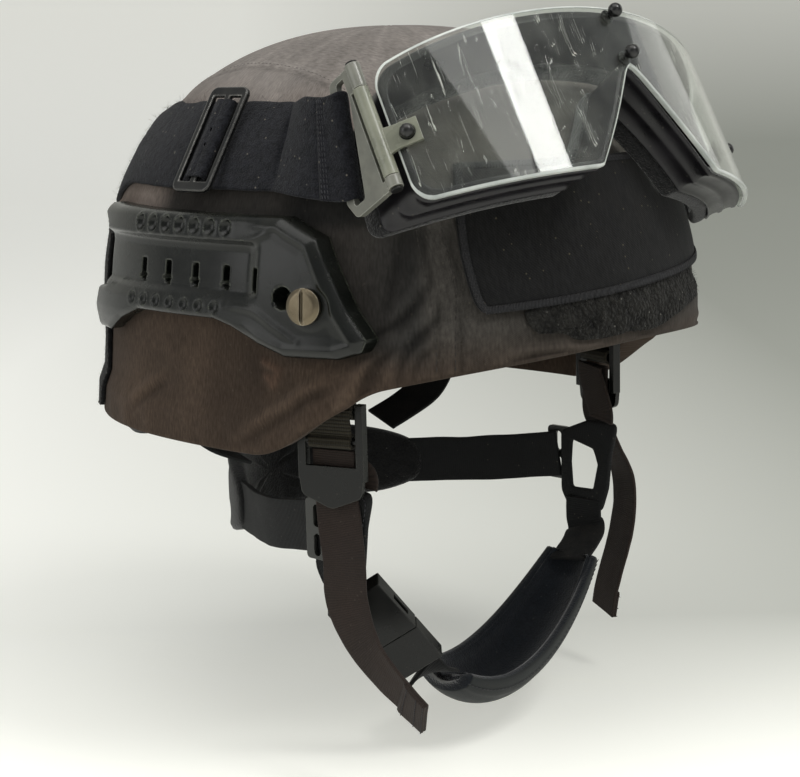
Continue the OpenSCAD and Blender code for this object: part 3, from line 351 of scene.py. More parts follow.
def pileMaterial(name, dark, pale, tuft=0.0012, clump=0.5, bump=0.8, dust=(0.1, 0.4), sheen=0.4,
                 dustColour=(120, 118, 110), deep=0.0008):
    made, tree, shader = startMaterial(name)[:3]
    place = placeVector(tree, "object")
    pile = useGroup(tree, pileGroup, {"Vector": place, "Tuft": tuft, "Clump": clump})
    base = mixColour(tree, pile["Tone"], tone(*dark), tone(*pale))
    settleDust(tree, shader, base, place, dust, dustColour)
    fill(tree, shader, {"Roughness": remap(tree, pile["Tone"], 0, 1, 1.0, 0.8), "Sheen Weight": sheen,
                        "Specular IOR Level": 0.15})
    setBump(tree, shader, pile["Height"], bump, deep)
    return made


def webbingMaterial(name, dark, pale, pitch=0.0016, grain=0.5, bump=0.6, source="clothMap", shine=0.35,
                    dust=(0.1, 0.2), dustColour=(120, 112, 100)):
    made, tree, shader = startMaterial(name)[:3]
    ribs = useGroup(tree, ribGroup, {"Vector": placeVector(tree, source), "Pitch": pitch, "Grain": grain})
    place = placeVector(tree, "object")
    broad = useGroup(tree, grainGroup, {"Vector": place, "Grain": 0.0008, "Patch": 0.02})
    base = mixColour(tree, ribs["Tone"], tone(*dark), tone(*pale))
    base = mixColour(tree, remap(tree, broad["Broad"], 0, 1, 0.0, 0.3), base, (0.006, 0.006, 0.006, 1))
    settleDust(tree, shader, base, place, dust, dustColour)
    fill(tree, shader, {"Roughness": remap(tree, broad["Fine"], 0, 1, 0.6, 0.9), "Sheen Weight": 0.04,
                        "Specular IOR Level": shine})
    setBump(tree, shader, ribs["Height"], bump, 0.0004)
    return made


def hardMaterial(name, dark, pale, worn, rough=(0.3, 0.5), metal=0.0, radius=0.0006, patchy=0.5, grain=0.0006,
                 bump=0.15, dust=(0.15, 0.1), dustColour=(140, 135, 122), wornMetal=0.0,
                 wearShare=0.7, specular=0.5):
    made, tree, shader = startMaterial(name)[:3]
    place = placeVector(tree, "object")
    texture = useGroup(tree, grainGroup, {"Vector": place, "Grain": grain, "Patch": 0.018})
    wear = useGroup(tree, wearGroup, {"Vector": place, "Radius": radius, "Patchy": patchy})
    share = times(tree, wear["Mask"], wearShare)
    base = mixColour(tree, texture["Broad"], tone(*dark), tone(*pale))
    base = mixColour(tree, share, base, tone(*worn))
    settled = settleDust(tree, shader, base, place, dust, dustColour)
    roughness = remap(tree, texture["Broad"], 0, 1, rough[0], rough[1])
    roughness = plus(tree, roughness, times(tree, settled, 0.3), clamp=True)
    fill(tree, shader, {"Roughness": roughness, "Specular IOR Level": specular})
    if metal or wornMetal:
        fill(tree, shader, {"Metallic": remap(tree, share, 0, 1, metal, max(metal, wornMetal))})
    setBump(tree, shader, texture["Fine"], bump, 0.0003, Normal=wear["Normal"])
    return made


materials = {
    "cover": clothMaterial("fadedCover", (176, 176, 176), (255, 255, 255), threads=2300.0, streak=0.5,
        tint="tint", bump=0.35, dust=(0.06, 0.06), sheen=0.04, deep=0.0003),
    "coverThread": webbingMaterial("coverThread", (30, 28, 27), (66, 60, 56), pitch=0.0008, source="object"),
    "loopPile": pileMaterial("loopPile", (6, 6, 7), (28, 28, 29), tuft=0.0011, clump=0.6, dust=(0.05, 0.4),
        sheen=0.1),
    "fieldPile": pileMaterial("fieldPile", (8, 8, 8), (40, 39, 36), tuft=0.0019, clump=0.8, bump=1.0,
        sheen=0.05, dust=(0.03, 0.7), dustColour=(125, 124, 118), deep=0.0014),
    "patchFace": clothMaterial("patchFace", (20, 20, 21), (57, 57, 57), threads=1500.0, streak=0.2, bump=0.4,
        dust=(0.08, 0.4), dustColour=(110, 104, 84), sheen=0.08),
    "borderThread": webbingMaterial("borderThread", (14, 14, 16), (44, 44, 47), pitch=0.0007,
        source="object"),
    "elastic": pileMaterial("elastic", (10, 11, 14), (37, 38, 44), tuft=0.0007, clump=0.6, bump=0.5,
        dust=(0.03, 0.6), dustColour=(128, 122, 112), sheen=0.08, deep=0.0009),
    "elasticThread": webbingMaterial("elasticThread", (24, 25, 30), (70, 70, 76), pitch=0.0006,
        source="object"),
    "rail": hardMaterial("railPlastic", (7, 10, 8), (16, 19, 16), (118, 122, 108), rough=(0.17, 0.32),
        radius=0.0012, patchy=0.45, bump=0.2, dust=(0.06, 0.04), wearShare=0.6, specular=0.34),
    "screw": hardMaterial("wornSteel", (84, 76, 62), (122, 112, 94), (196, 188, 170), rough=(0.2, 0.38),
        metal=1.0, radius=0.0005, dust=(0.25, 0.1), dustColour=(84, 74, 58), bump=0.35, wornMetal=1.0),
    "darkSteel": hardMaterial("darkSteel", (34, 33, 30), (52, 50, 46), (120, 116, 108), metal=0.7,
        rough=(0.35, 0.55)),
    "blackPin": hardMaterial("blackPin", (14, 14, 14), (24, 24, 24), (90, 90, 90), metal=0.5,
        rough=(0.3, 0.45)),
    "stud": hardMaterial("studPlastic", (7, 7, 8), (16, 16, 17), (70, 70, 68), rough=(0.2, 0.34),
        radius=0.0004),
    "clip": hardMaterial("clipPlastic", (104, 106, 93), (142, 144, 127), (196, 196, 180), rough=(0.22, 0.34),
        radius=0.0005, wearShare=0.6, dust=(0.15, 0.1)),
    "loopPlate": hardMaterial("loopPlastic", (96, 97, 91), (130, 130, 120), (214, 214, 204),
        rough=(0.16, 0.28), radius=0.0006, wearShare=0.8, patchy=0.35),
    "glide": hardMaterial("blackMetal", (15, 16, 17), (26, 27, 28), (206, 204, 198), rough=(0.22, 0.36),
        metal=0.35, radius=0.0010, wearShare=1.0, patchy=0.4, wornMetal=1.0),
    "lock": hardMaterial("lockPlastic", (9, 10, 10), (17, 18, 17), (84, 86, 80), rough=(0.22, 0.36),
        radius=0.0007, dust=(0.06, 0.06), specular=0.28),
    "adjuster": hardMaterial("adjusterPlastic", (24, 26, 23), (38, 40, 36), (112, 114, 106),
        rough=(0.32, 0.46), radius=0.0005),
    "frame": hardMaterial("softFrame", (15, 14, 17), (29, 27, 31), (84, 82, 88), rough=(0.26, 0.42),
        radius=0.0008, specular=0.35, wearShare=0.35, dust=(0.1, 0.15), bump=0.15),
    "foam": pileMaterial("sealFoam", (16, 16, 17), (40, 40, 41), tuft=0.0009, clump=0.4, bump=0.6),
    "webbing": webbingMaterial("ribbedStrap", (8, 8, 9), (60, 55, 42), pitch=0.0016, bump=1.0, shine=0.2),
    "flatWebbing": webbingMaterial("flatStrap", (8, 9, 10), (27, 28, 29), pitch=0.0011, bump=0.45, grain=0.7,
        shine=0.2),
    "tail": webbingMaterial("wornStrap", (19, 15, 14), (54, 44, 39), pitch=0.0010, bump=0.4, grain=0.9,
        dust=(0.06, 0.15), shine=0.2),
    "nape": pileMaterial("napeCloth", (10, 10, 11), (31, 31, 32), tuft=0.0008, clump=0.4, bump=0.45),
    "cupInner": pileMaterial("cupLining", (11, 15, 21), (28, 34, 42), tuft=0.0007, clump=0.35, bump=0.3,
        dust=(0.05, 0.15), sheen=0.5),
    "cupOuter": hardMaterial("cupShell", (19, 22, 24), (31, 35, 36), (80, 84, 82), rough=(0.45, 0.6),
        specular=0.25, radius=0.0012, wearShare=0.3, grain=0.0004, bump=0.25),
    "pad": clothMaterial("padCloth", (34, 34, 28), (62, 62, 52), threads=900.0, streak=0.4, bump=0.5,
        sheen=0.4, source="object"),
    "darkPad": clothMaterial("darkPadCloth", (13, 13, 14), (34, 34, 35), threads=900.0, streak=0.4, bump=0.5,
        sheen=0.3, source="object"),
    "hook": pileMaterial("hookTape", (10, 10, 10), (36, 36, 36), tuft=0.0014, clump=0.2, bump=1.0),
    "composite": hardMaterial("aramidShell", (58, 56, 44), (76, 73, 58), (98, 95, 78), rough=(0.55, 0.7),
        radius=0.0008, grain=0.0012, bump=0.5),
    "rubber": hardMaterial("edgeRubber", (13, 13, 13), (24, 24, 23), (50, 50, 48), rough=(0.5, 0.65),
        radius=0.0006),
    "fibre": webbingMaterial("looseFibre", (18, 18, 20), (60, 59, 60), pitch=0.0009, source="object",
        bump=0.1),
}


def makeLensMaterial():
    made, tree, shader, out = startMaterial("clearLens")
    marks = useGroup(tree, scratchGroup, {"Vector": placeVector(tree, "clothMap")})
    rough = plus(tree, remap(tree, marks["Haze"], 0, 1, 0.015, 0.06),
                 times(tree, marks["Mask"], 0.5), clamp=True)
    fill(tree, shader, {"Base Color": tone(240, 244, 240), "Roughness": rough, "Transmission Weight": 1.0,
                        "IOR": 1.49})
    setBump(tree, shader, marks["Mask"], 0.4, 0.0002)
    path = putNode(tree, "ShaderNodeLightPath")
    clear = putNode(tree, "ShaderNodeBsdfTransparent", {"Color": (0.9, 0.92, 0.9, 1)})
    pale = putNode(tree, "ShaderNodeBsdfDiffuse", {"Color": tone(214, 216, 206)})
    scratched = calc(tree, "MAXIMUM", times(tree, marks["Mask"], 0.55),
                     remap(tree, marks["Haze"], 0, 1, 0.005, 0.045))
    scored = putNode(tree, "ShaderNodeMixShader", {0: scratched, 1: shader.outputs[0], 2: pale.outputs[0]})
    shadow = path.outputs["Is Shadow Ray"]
    mixed = putNode(tree, "ShaderNodeMixShader", {0: shadow, 1: scored.outputs[0], 2: clear.outputs[0]})
    tree.links.new(mixed.outputs[0], out.inputs[0])
    return made


materials["lens"] = makeLensMaterial()
# painted highlight: the clear lens's edge ring is an opaque pale colour for the light its edge catches
materials["lensEdgeLight"] = hardMaterial("paintedLensEdgeLight", (176, 182, 178), (226, 230, 224), (246, 248, 244),
                                     rough=(0.1, 0.3), radius=0.0004, dust=(0.0, 0.1), bump=0.1)
print("materials ready")


# studio: a pale sweep, lit by soft boxes, with painted light on it: brighter on the left, near the camera and
# up the wall, and a painted shadow of the helmet to the right
studio = {
    "floorZ": -0.1905,
    "reach": 3.2,
    "nearReach": 5.0,
    "halfWidth": 12.0,
    "bend": 0.9, "steps": 24, "wallTop": 4.0, "glow": 0.45, "paintedLightBase": (0.76, 0.76, 0.72, 1),
    "paintedShadowBase": (0.29, 0.295, 0.27, 1), "nearBase": (0.88, 0.88, 0.83, 1), "paintedLightTone": (247, 247, 241),
    "paintedShadowTone": (158, 161, 151),
    "topTone": (252, 251, 240),
    "bottomTone": (255, 255, 246),
}


def makeStage(setup):
    forward = Vector((-viewBack.x, -viewBack.y, 0)).normalized()
    side = Vector((forward.y, -forward.x, 0))
    rows, steps = [], setup["steps"]
    for i in range(steps + 1):
        rows.append((-setup["nearReach"] + (setup["reach"] + setup["nearReach"]) * i / steps, 0.0))
    for i in range(1, steps + 1):
        turn = math.radians(90 * i / steps)
        rows.append((setup["reach"] + setup["bend"] * math.sin(turn), setup["bend"] * (1 - math.cos(turn))))
    rows.append((setup["reach"] + setup["bend"], setup["wallTop"]))
    points, faces = [], []
    for along, rise in rows:
        for k in (-setup["halfWidth"], setup["halfWidth"]):
            points.append(forward * along + side * k + Vector((0, 0, setup["floorZ"] + rise)))
    for i in range(len(rows) - 1):
        faces.append((2 * i, 2 * i + 1, 2 * i + 3, 2 * i + 2))
    mesh = bpy.data.meshes.new("studioSweep")
    mesh.from_pydata(points, [], faces)
    for polygon in mesh.polygons:
        polygon.use_smooth = True
    sweep = bpy.data.objects.new("studioSweep", mesh)
    scene.collection.objects.link(sweep)
    made, tree, shader, out = startMaterial("studioPaper")
    place = placeVector(tree, "object")
    across, along, rise = (dot(tree, place, tuple(way)) for way in (side, forward, (0.0, 0.0, 1.0)))
    # painted light and shadow on the sweep: bright on the left, a painted shadow of the helmet to the right,
    # paler up the wall and near the camera
    high = remap(tree, rise, -0.1, 0.6)
    level = times(tree, remap(tree, across, -0.4, 0.4), remap(tree, high, 0, 1, 1.0, 0.35))
    colour = mixColour(tree, level, tone(*setup["paintedLightTone"]), tone(*setup["paintedShadowTone"]))
    colour = mixColour(tree, times(tree, high, 0.8), colour, tone(*setup["topTone"]))
    near = remap(tree, along, 0.12, -0.12)
    colour = mixColour(tree, near, colour, tone(*setup["bottomTone"]))
    base = mixColour(tree, level, setup["paintedLightBase"], setup["paintedShadowBase"])
    path = putNode(tree, "ShaderNodeLightPath").outputs
    seen = calc(tree, "MAXIMUM", path["Is Glossy Ray"], path["Is Transmission Ray"])
    seen = calc(tree, "MAXIMUM", path["Is Camera Ray"], seen)
    fill(tree, shader, {
        "Base Color": mixColour(tree, near, base, setup["nearBase"]), "Roughness": 0.7,
        "Specular IOR Level": 0.2, "Emission Color": colour,
        "Emission Strength": times(tree, seen, setup["glow"]),
    })
    # from below the camera looks through the floor
    behind = putNode(tree, "ShaderNodeNewGeometry").outputs["Backfacing"]
    below = times(tree, behind, path["Is Camera Ray"])
    clear = putNode(tree, "ShaderNodeBsdfTransparent")
    mixed = putNode(tree, "ShaderNodeMixShader", {0: below, 1: shader.outputs[0], 2: clear.outputs[0]})
    tree.links.new(mixed.outputs[0], out.inputs[0])
    mesh.materials.append(made)


makeStage(studio)

lampColour = (1.0, 0.995, 0.97)
lamps = {
    "overhead": {"place": (-0.25, -0.2, 1.25), "aim": (0, 0, 0), "size": (1.3, 1.0), "power": 7.5},
    "windowLeft": {"place": (-1.35, 0.55, 0.55), "aim": (0, 0, 0), "size": (0.9, 1.1), "power": 5.0},
    "front": {"place": (-0.55, -1.5, 0.35), "aim": (0, 0, -0.02), "size": (0.9, 0.9), "power": 1.6},
    "rightFill": {"place": (1.3, -0.5, 0.4), "aim": (0, 0, -0.03), "size": (0.8, 0.9), "power": 1.8},
    "lensStrip": {"place": (0.061, -0.81, 1.08), "aim": (-0.061, -0.128, 0.104), "size": (0.28, 0.5),
                  "power": 5.5, "across": (0.34, 0.0, -0.065)},
}


def makeLamp(name, setup):
    data = bpy.data.lights.new(name, "AREA")
    data.shape = "RECTANGLE"
    data.size, data.size_y = setup["size"]
    data.energy = setup["power"]
    data.color = lampColour
    lamp = bpy.data.objects.new(name, data)
    lamp.location = setup["place"]
    back = (Vector(setup["place"]) - Vector(setup["aim"])).normalized()
    across = Vector(setup.get("across", Vector((0, 0, 1)).cross(back)))
    across = (across - back * across.dot(back)).normalized()
    lamp.rotation_euler = Matrix((across, back.cross(across), back)).transposed().to_euler()
    scene.collection.objects.link(lamp)


for lampName, lampSetup in lamps.items():
    makeLamp(lampName, lampSetup)

world = bpy.data.worlds.new("studioAir")
world.use_nodes = True
air = world.node_tree
air.nodes["Background"].inputs[0].default_value = (0.93, 0.95, 0.95, 1)
seenAir = remap(air, putNode(air, "ShaderNodeLightPath").outputs["Is Camera Ray"], 0, 1, 0.36, 0.72)
air.links.new(seenAir, air.nodes["Background"].inputs[1])
scene.world = world
scene.view_settings.view_transform = "Standard"
print("studio ready")


# the dome in millimetres: a heading in degrees with the front at -90, a height and a distance off the cover
dome = {
    "halfWidth": 119.0, "frontLength": 140.0, "backLength": 144.0, "crown": 134.0,
    "planPower": 2.25, "sidePower": 2.3, "hemBulge": 2.1, "hemStart": 22.0, "hemRun": 8.0,
}


def easeIn(x):
    t = np.clip(x, 0, 1)
    return t * t * (3 - 2 * t)


def mix(a, b, t):
    return a + (b - a) * t


def fromFront(phi):
    return np.abs((phi + 270) % 360 - 180)


def rimHeight(phi):
    d = fromFront(phi)
    return 1.5 - 17 * (np.minimum(d, 57) / 57) ** 2 - 27 * easeIn((d - 50) / 28)


def levelShare(z, off):
    q = dome["sidePower"]
    return (1 - np.clip(z / (dome["crown"] + off), 0, 1) ** q) ** (1 / q)


def domeAt(phi, z, off=0.0):
    phi, z, off = np.broadcast_arrays(np.asarray(phi, float), np.asarray(z, float), np.asarray(off, float))
    c, s = np.cos(np.radians(phi)), np.sin(np.radians(phi))
    ends = np.where(s < 0, dome["frontLength"], dome["backLength"])
    p = dome["planPower"]
    r = ((np.abs(c) / (dome["halfWidth"] + off)) ** p + (np.abs(s) / (ends + off)) ** p) ** (-1 / p)
    r = r * levelShare(z, off)
    r = r + 3 * easeIn((fromFront(phi) - 95) / 45) * easeIn(-z / 45)
    return np.stack([r * c, r * s, z], -1)


# the dome's height over a point of its plan, and how far out that point is as a share
def crownAt(x, y, off=0.0):
    ends = np.where(y < 0, dome["frontLength"], dome["backLength"]) + off
    p, q = dome["planPower"], dome["sidePower"]
    share = ((np.abs(x) / (dome["halfWidth"] + off)) ** p + (np.abs(y) / ends) ** p) ** (q / p)
    return (dome["crown"] + off) * np.clip(1 - share, 0, 1) ** (1 / q), share


def domeNormal(phi, z):
    flat = domeAt(phi, z)
    ends = np.where(flat[..., 1] < 0, dome["frontLength"], dome["backLength"])
    p, q = dome["planPower"], dome["sidePower"]
    u, v = np.abs(flat[..., 0]) / dome["halfWidth"], np.abs(flat[..., 1]) / ends
    k = np.maximum(u ** p + v ** p, 1e-9) ** (q / p - 1)
    n = np.stack([
        k * np.sign(flat[..., 0]) * u ** (p - 1) / dome["halfWidth"],
        k * np.sign(flat[..., 1]) * v ** (p - 1) / ends,
        np.clip(flat[..., 2] / dome["crown"], 0, 1) ** (q - 1) / dome["crown"],
    ], -1)
    return n / np.linalg.norm(n, axis=-1, keepdims=True)


def hemLift(phi, z):
    return dome["hemBulge"] * np.clip((dome["hemStart"] - z + rimHeight(phi)) / dome["hemRun"], 0, 1)


def coverAt(phi, z, off=0.0):
    return domeAt(phi, z, hemLift(phi, z)) + domeNormal(phi, z) * np.asarray(off)[..., None]


def unit(v):
    v = np.asarray(v, float)
    return v / np.maximum(np.linalg.norm(v, axis=-1, keepdims=True), 1e-12)


def waves(x, y, seed, count=9, longest=60.0, shortest=12.0):
    dice = np.random.default_rng(seed)
    total = 0.0
    for i in range(count):
        length = mix(longest, shortest, i / max(1, count - 1))
        turn, phase = dice.uniform(0, np.pi), dice.uniform(0, 2 * np.pi)
        k = 2 * np.pi / length
        total = total + np.sin(k * (x * np.cos(turn) + y * np.sin(turn)) + phase) * (length / longest) ** 0.8
    return total / count ** 0.5


def lineDistance(x, y, line):
    best = np.full(np.shape(x), 1e9)
    side = np.zeros(np.shape(x))
    along = np.zeros(np.shape(x))
    line = np.asarray(line, float)
    run = 0.0
    for a, b in zip(line[:-1], line[1:]):
        step = b - a
        size = np.hypot(*step)
        t = np.clip(((x - a[0]) * step[0] + (y - a[1]) * step[1]) / size ** 2, 0, 1)
        dx, dy = x - a[0] - t * step[0], y - a[1] - t * step[1]
        d = np.hypot(dx, dy)
        near = d < best
        best = np.where(near, d, best)
        side = np.where(near, np.sign(step[0] * dy - step[1] * dx), side)
        along = np.where(near, run + t * size, along)
        run += size
    return best, side, along / run


def smoothLine(points, steps=6):
    points = np.asarray(points, float)
    last = len(points) - 1
    rows = []
    for i in range(last):
        p, q, r, s = points[max(0, i - 1)], points[i], points[i + 1], points[min(last, i + 2)]
        for k in range(steps):
            t = k / steps
            rows.append(0.5 * (2 * q + (r - p) * t + (2 * p - 5 * q + 4 * r - s) * t * t
                               + (3 * q - p - 3 * r + s) * t ** 3))
    rows.append(points[last])
    return np.array(rows)


def corners(a):
    return np.stack([a[:-1, :-1], a[:-1, 1:], a[1:, 1:], a[1:, :-1]], 2)


def runAlong(line):
    return np.concatenate([[0], np.cumsum(np.linalg.norm(np.diff(line, axis=0), axis=-1))])


# a grid's own UV map in metres, x across and y along
def gridMap(points):
    n, m = points.shape[:2]
    along, across = runAlong(points[:, m // 2]), runAlong(points[n // 2])
    return np.stack(np.broadcast_arrays(across[None, :] * mm, along[:, None] * mm), -1)


# grids of points, in millimetres, that become one closed mesh
class Sheets:
    def __init__(self):
        self.points, self.faces, self.uvs, self.slots, self.tints, self.count = [], [], [], [], [], 0

    def grid(self, points, uv=None, slot=0, tint=None):
        n, m = points.shape[:2]
        uv = gridMap(points) if uv is None else uv
        index = np.arange(n * m).reshape(n, m) + self.count
        self.points.append(points.reshape(-1, 3))
        self.faces.append(corners(index).reshape(-1, 4))
        self.uvs.append(corners(uv).reshape(-1, 2))
        flat = np.ndim(slot) == 0
        self.slots.append(np.full((n - 1) * (m - 1), slot) if flat else np.asarray(slot).reshape(-1))
        if tint is not None:
            self.tints.append(np.concatenate([tint.reshape(-1, 3), np.ones((n * m, 1))], 1))
        self.count += n * m

    def make(self, name, keys, sharp=None):
        mesh = bpy.data.meshes.new(name)
        mesh.from_pydata((np.concatenate(self.points) * mm).tolist(), [], np.concatenate(self.faces).tolist())
        layer = mesh.uv_layers.new(name="clothMap")
        layer.data.foreach_set("uv", np.concatenate(self.uvs).astype(np.float32).ravel())
        if self.tints:
            colour = mesh.color_attributes.new("tint", "FLOAT_COLOR", "POINT")
            colour.data.foreach_set("color", np.concatenate(self.tints).astype(np.float32).ravel())
        for key in keys:
            mesh.materials.append(materials[key])
        mesh.polygons.foreach_set("material_index", np.concatenate(self.slots).astype(np.int32))
        mesh.polygons.foreach_set("use_smooth", np.ones(len(mesh.polygons), bool))
        form = bmesh.new()
        form.from_mesh(mesh)
        bmesh.ops.remove_doubles(form, verts=form.verts, dist=3e-6)
        bmesh.ops.dissolve_degenerate(form, edges=form.edges, dist=1e-7)
        bmesh.ops.recalc_face_normals(form, faces=form.faces)
        form.to_mesh(mesh)
        form.free()
        if sharp:
            mesh.set_sharp_from_angle(angle=math.radians(sharp))
        return mesh

    def show(self, name, keys, body=None, nodes=(), slotName=None, sharp=None):
        return place(name, self.make(name, keys, sharp), body, nodes, slotName)


def addObject(name, data):
    made = bpy.data.objects.new(name, data)
    scene.collection.objects.link(made)
    return made


def bake(piece):
    return bpy.data.meshes.new_from_object(piece.evaluated_get(bpy.context.evaluated_depsgraph_get()))


def place(name, mesh, body=None, nodes=(), slotName=None):
    piece = addObject(name, mesh)
    if body:
        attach(piece, body)
    if nodes:
        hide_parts(*nodes)
    return piece


def gridNormals(grid):
    du, dv = np.gradient(grid, axis=0), np.gradient(grid, axis=1)
    return unit(np.cross(du, dv))


# joins a ring's last column to its first, and draws each end row together in one point
def closeRing(grid, ends=True):
    if ends:
        grid[0], grid[-1] = grid[0].mean(0), grid[-1].mean(0)
    grid[:, -1] = grid[:, 0]
    return grid


def showGrid(grid, *given, **more):
    sheets = Sheets()
    sheets.grid(grid)
    return sheets.show(*given, **more)


# a sheet with a thickness that rounds off at its edges; outward is the side where the rise is added
def thicken(sheets, grid, thick, rise=0.0, flip=False, edge=3):
    n, m = grid.shape[:2]
    normals = gridNormals(grid) * (-1 if flip else 1)
    rows = np.minimum(np.arange(n), np.arange(n)[::-1])[:, None]
    columns = np.minimum(np.arange(m), np.arange(m)[::-1])[None, :]
    nearness = np.minimum(np.minimum(rows, columns), edge) / edge
    half = thick / 2 * np.sqrt(1 - (1 - nearness) ** 2)
    uv = gridMap(grid)
    lifted = np.where(nearness > 0, half + rise * nearness, 0)
    sheets.grid(grid + normals * lifted[..., None], uv)
    sheets.grid(grid - normals * half[..., None], uv + 0.5)


# columns across a strap, closer together at its two edges
rimSteps = np.array([0.0, 0.14, 0.45])


def edgeSteps(count, width, border=0.8):
    inner = np.linspace(-width / 2 + border, width / 2 - border, count)
    rim = rimSteps * border
    return np.concatenate([-width / 2 + rim, inner, (width / 2 - rim)[::-1]])


def strapGrid(places, sides, width, steps=8, count=11, wave=0.25, seed=1):
    sides = np.broadcast_to(np.asarray(sides, float), (len(places), 3))
    both = smoothLine(np.concatenate([np.asarray(places, float), sides], 1), steps)
    line, aside = both[:, :3], unit(both[:, 3:])
    along = unit(np.gradient(line, axis=0))
    up = unit(np.cross(along, aside))
    across = unit(np.cross(up, along))
    rim = rimSteps * 0.5
    line = np.concatenate([line[0] + along[0] * rim[:, None], line[1:-1],
                           line[-1] - along[-1] * rim[::-1, None]])
    up = np.concatenate([up[:1]] * 3 + [up[1:-1]] + [up[-1:]] * 3)
    across = np.concatenate([across[:1]] * 3 + [across[1:-1]] + [across[-1:]] * 3)
    t = edgeSteps(count, width)
    run = runAlong(line)
    wobble = waves(run, run * 0, seed, 6, 40, 7) * wave
    other = waves(run, run * 0, seed + 7, 6, 40, 7) * wave
    share = t / width + 0.5
    reach = t[None, :] + mix(wobble[:, None], other[:, None], share[None, :])
    bumps = waves(run[:, None], t[None, :] * 1.7, seed + 3, 7, 26, 6) * wave * 0.35
    return line[:, None] + across[:, None] * reach[..., None] + up[:, None] * bumps[..., None]


# the left side mirrors the right one
def onSide(side, grid):
    return grid * [-1, 1, 1] if side == "left" else grid


def makeStrap(name, places, sides, width, thick, body, nodes, steps=8, wave=0.25, seed=1, side="right"):
    sheets = Sheets()
    thicken(sheets, onSide(side, strapGrid(places, sides, width, steps, wave=wave, seed=seed)), thick)
    sheets.show(name, ["flatWebbing"], body, nodes, "webbing")


# a copy of a CAD node with its edges rounded
def bevelled(node, key, width, segments, limit=32):
    source = cadNodes[node]
    form = bmesh.new()
    form.from_mesh(source.data)
    bmesh.ops.remove_doubles(form, verts=form.verts, dist=2e-6)
    bmesh.ops.dissolve_limit(form, angle_limit=math.radians(1.2), verts=form.verts, edges=form.edges)
    mesh = bpy.data.meshes.new(node + "Form")
    form.to_mesh(mesh)
    form.free()
    mesh.materials.clear()
    mesh.materials.append(materials[key])
    mesh.polygons.foreach_set("use_smooth", np.ones(len(mesh.polygons), bool))
    mesh.polygons.foreach_set("material_index", np.zeros(len(mesh.polygons), np.int32))
    rough = addObject(node + "Rough", mesh)
    bevel = rough.modifiers.new("rounding", "BEVEL")
    bevel.width = width * mm
    bevel.segments = segments
    bevel.limit_method = "ANGLE"
    bevel.angle_limit = math.radians(limit)
    bevel.use_clamp_overlap = True
    weighted = rough.modifiers.new("shading", "WEIGHTED_NORMAL")
    weighted.keep_sharp = True
    done = bake(rough)
    bpy.data.objects.remove(rough)
    place(node + "Shown", done, nodeBody[node], [node])


bodies = frame["record"]["behaviour"]["bodies"]
nodeBody = {node: body for body, nodes in bodies.items() for node in nodes}


# geometry nodes: stitches and loops of thread along a path, and loose fibres on a surface
def startGeometry(name, inputs):
    shape, stuff = {"Geometry": "NodeSocketGeometry"}, {"Material": "NodeSocketMaterial"}
    return newGroup(name, {**shape, **inputs, **stuff}, shape, "GeometryNodeTree")


def paintGeometry(tree, given, out, geometry):
    inputs = {"Geometry": geometry, "Material": given["Material"]}
    fill(tree, out, {0: putNode(tree, "GeometryNodeSetMaterial", inputs).outputs[0]})
    return tree


def makeStitchTree():
    tree, given, out = startGeometry("threadStitches", {
        "Spacing": 0.003, "Length": 0.0024, "Thick": 0.0005, "Turn": 0.0, "Rise": 0.0002, "Jitter": 0.1,
        "Seed": 3,
    })
    curve = putNode(tree, "GeometryNodeMeshToCurve", {"Mesh": given["Geometry"]}).outputs[0]
    even = putNode(tree, "GeometryNodeResampleCurve", {"Curve": curve, "Length": given["Spacing"]},
                   mode="LENGTH").outputs[0]
    normal = putNode(tree, "GeometryNodeInputNamedAttribute", {"Name": "pathNormal"},
                     data_type="FLOAT_VECTOR").outputs[0]
    tangent = putNode(tree, "GeometryNodeInputTangent").outputs[0]
    lifted = stretch(tree, normal, given["Rise"])
    moved = putNode(tree, "GeometryNodeSetPosition", {"Geometry": even, "Offset": lifted})
    bead = putNode(tree, "GeometryNodeMeshUVSphere", {"Segments": 8, "Rings": 5, "Radius": 0.5})
    size = combine(tree, given["Length"], given["Thick"], given["Thick"])
    thread = putNode(tree, "GeometryNodeTransform", {"Geometry": bead.outputs[0], "Scale": size})
    turned = putNode(tree, "FunctionNodeAxesToRotation", {0: normal, 1: tangent},
                     primary_axis="Z", secondary_axis="X")
    chance = putNode(tree, "FunctionNodeRandomValue", {2: -1.0, 3: 1.0, "Seed": given["Seed"]})
    swing = plus(tree, given["Turn"], times(tree, chance.outputs[1], given["Jitter"]))
    local = putNode(tree, "FunctionNodeRotateRotation", {0: turned.outputs[0], 1: combine(tree, z=swing)},
                    rotation_space="LOCAL")
    placed = putNode(tree, "GeometryNodeInstanceOnPoints", {
        "Points": moved.outputs[0], "Instance": thread.outputs[0], "Rotation": local.outputs[0],
    })
    real = putNode(tree, "GeometryNodeRealizeInstances", {"Geometry": placed.outputs[0]})
    smooth = putNode(tree, "GeometryNodeSetShadeSmooth", {"Geometry": real.outputs[0]})
    return paintGeometry(tree, given, out, smooth.outputs[0])


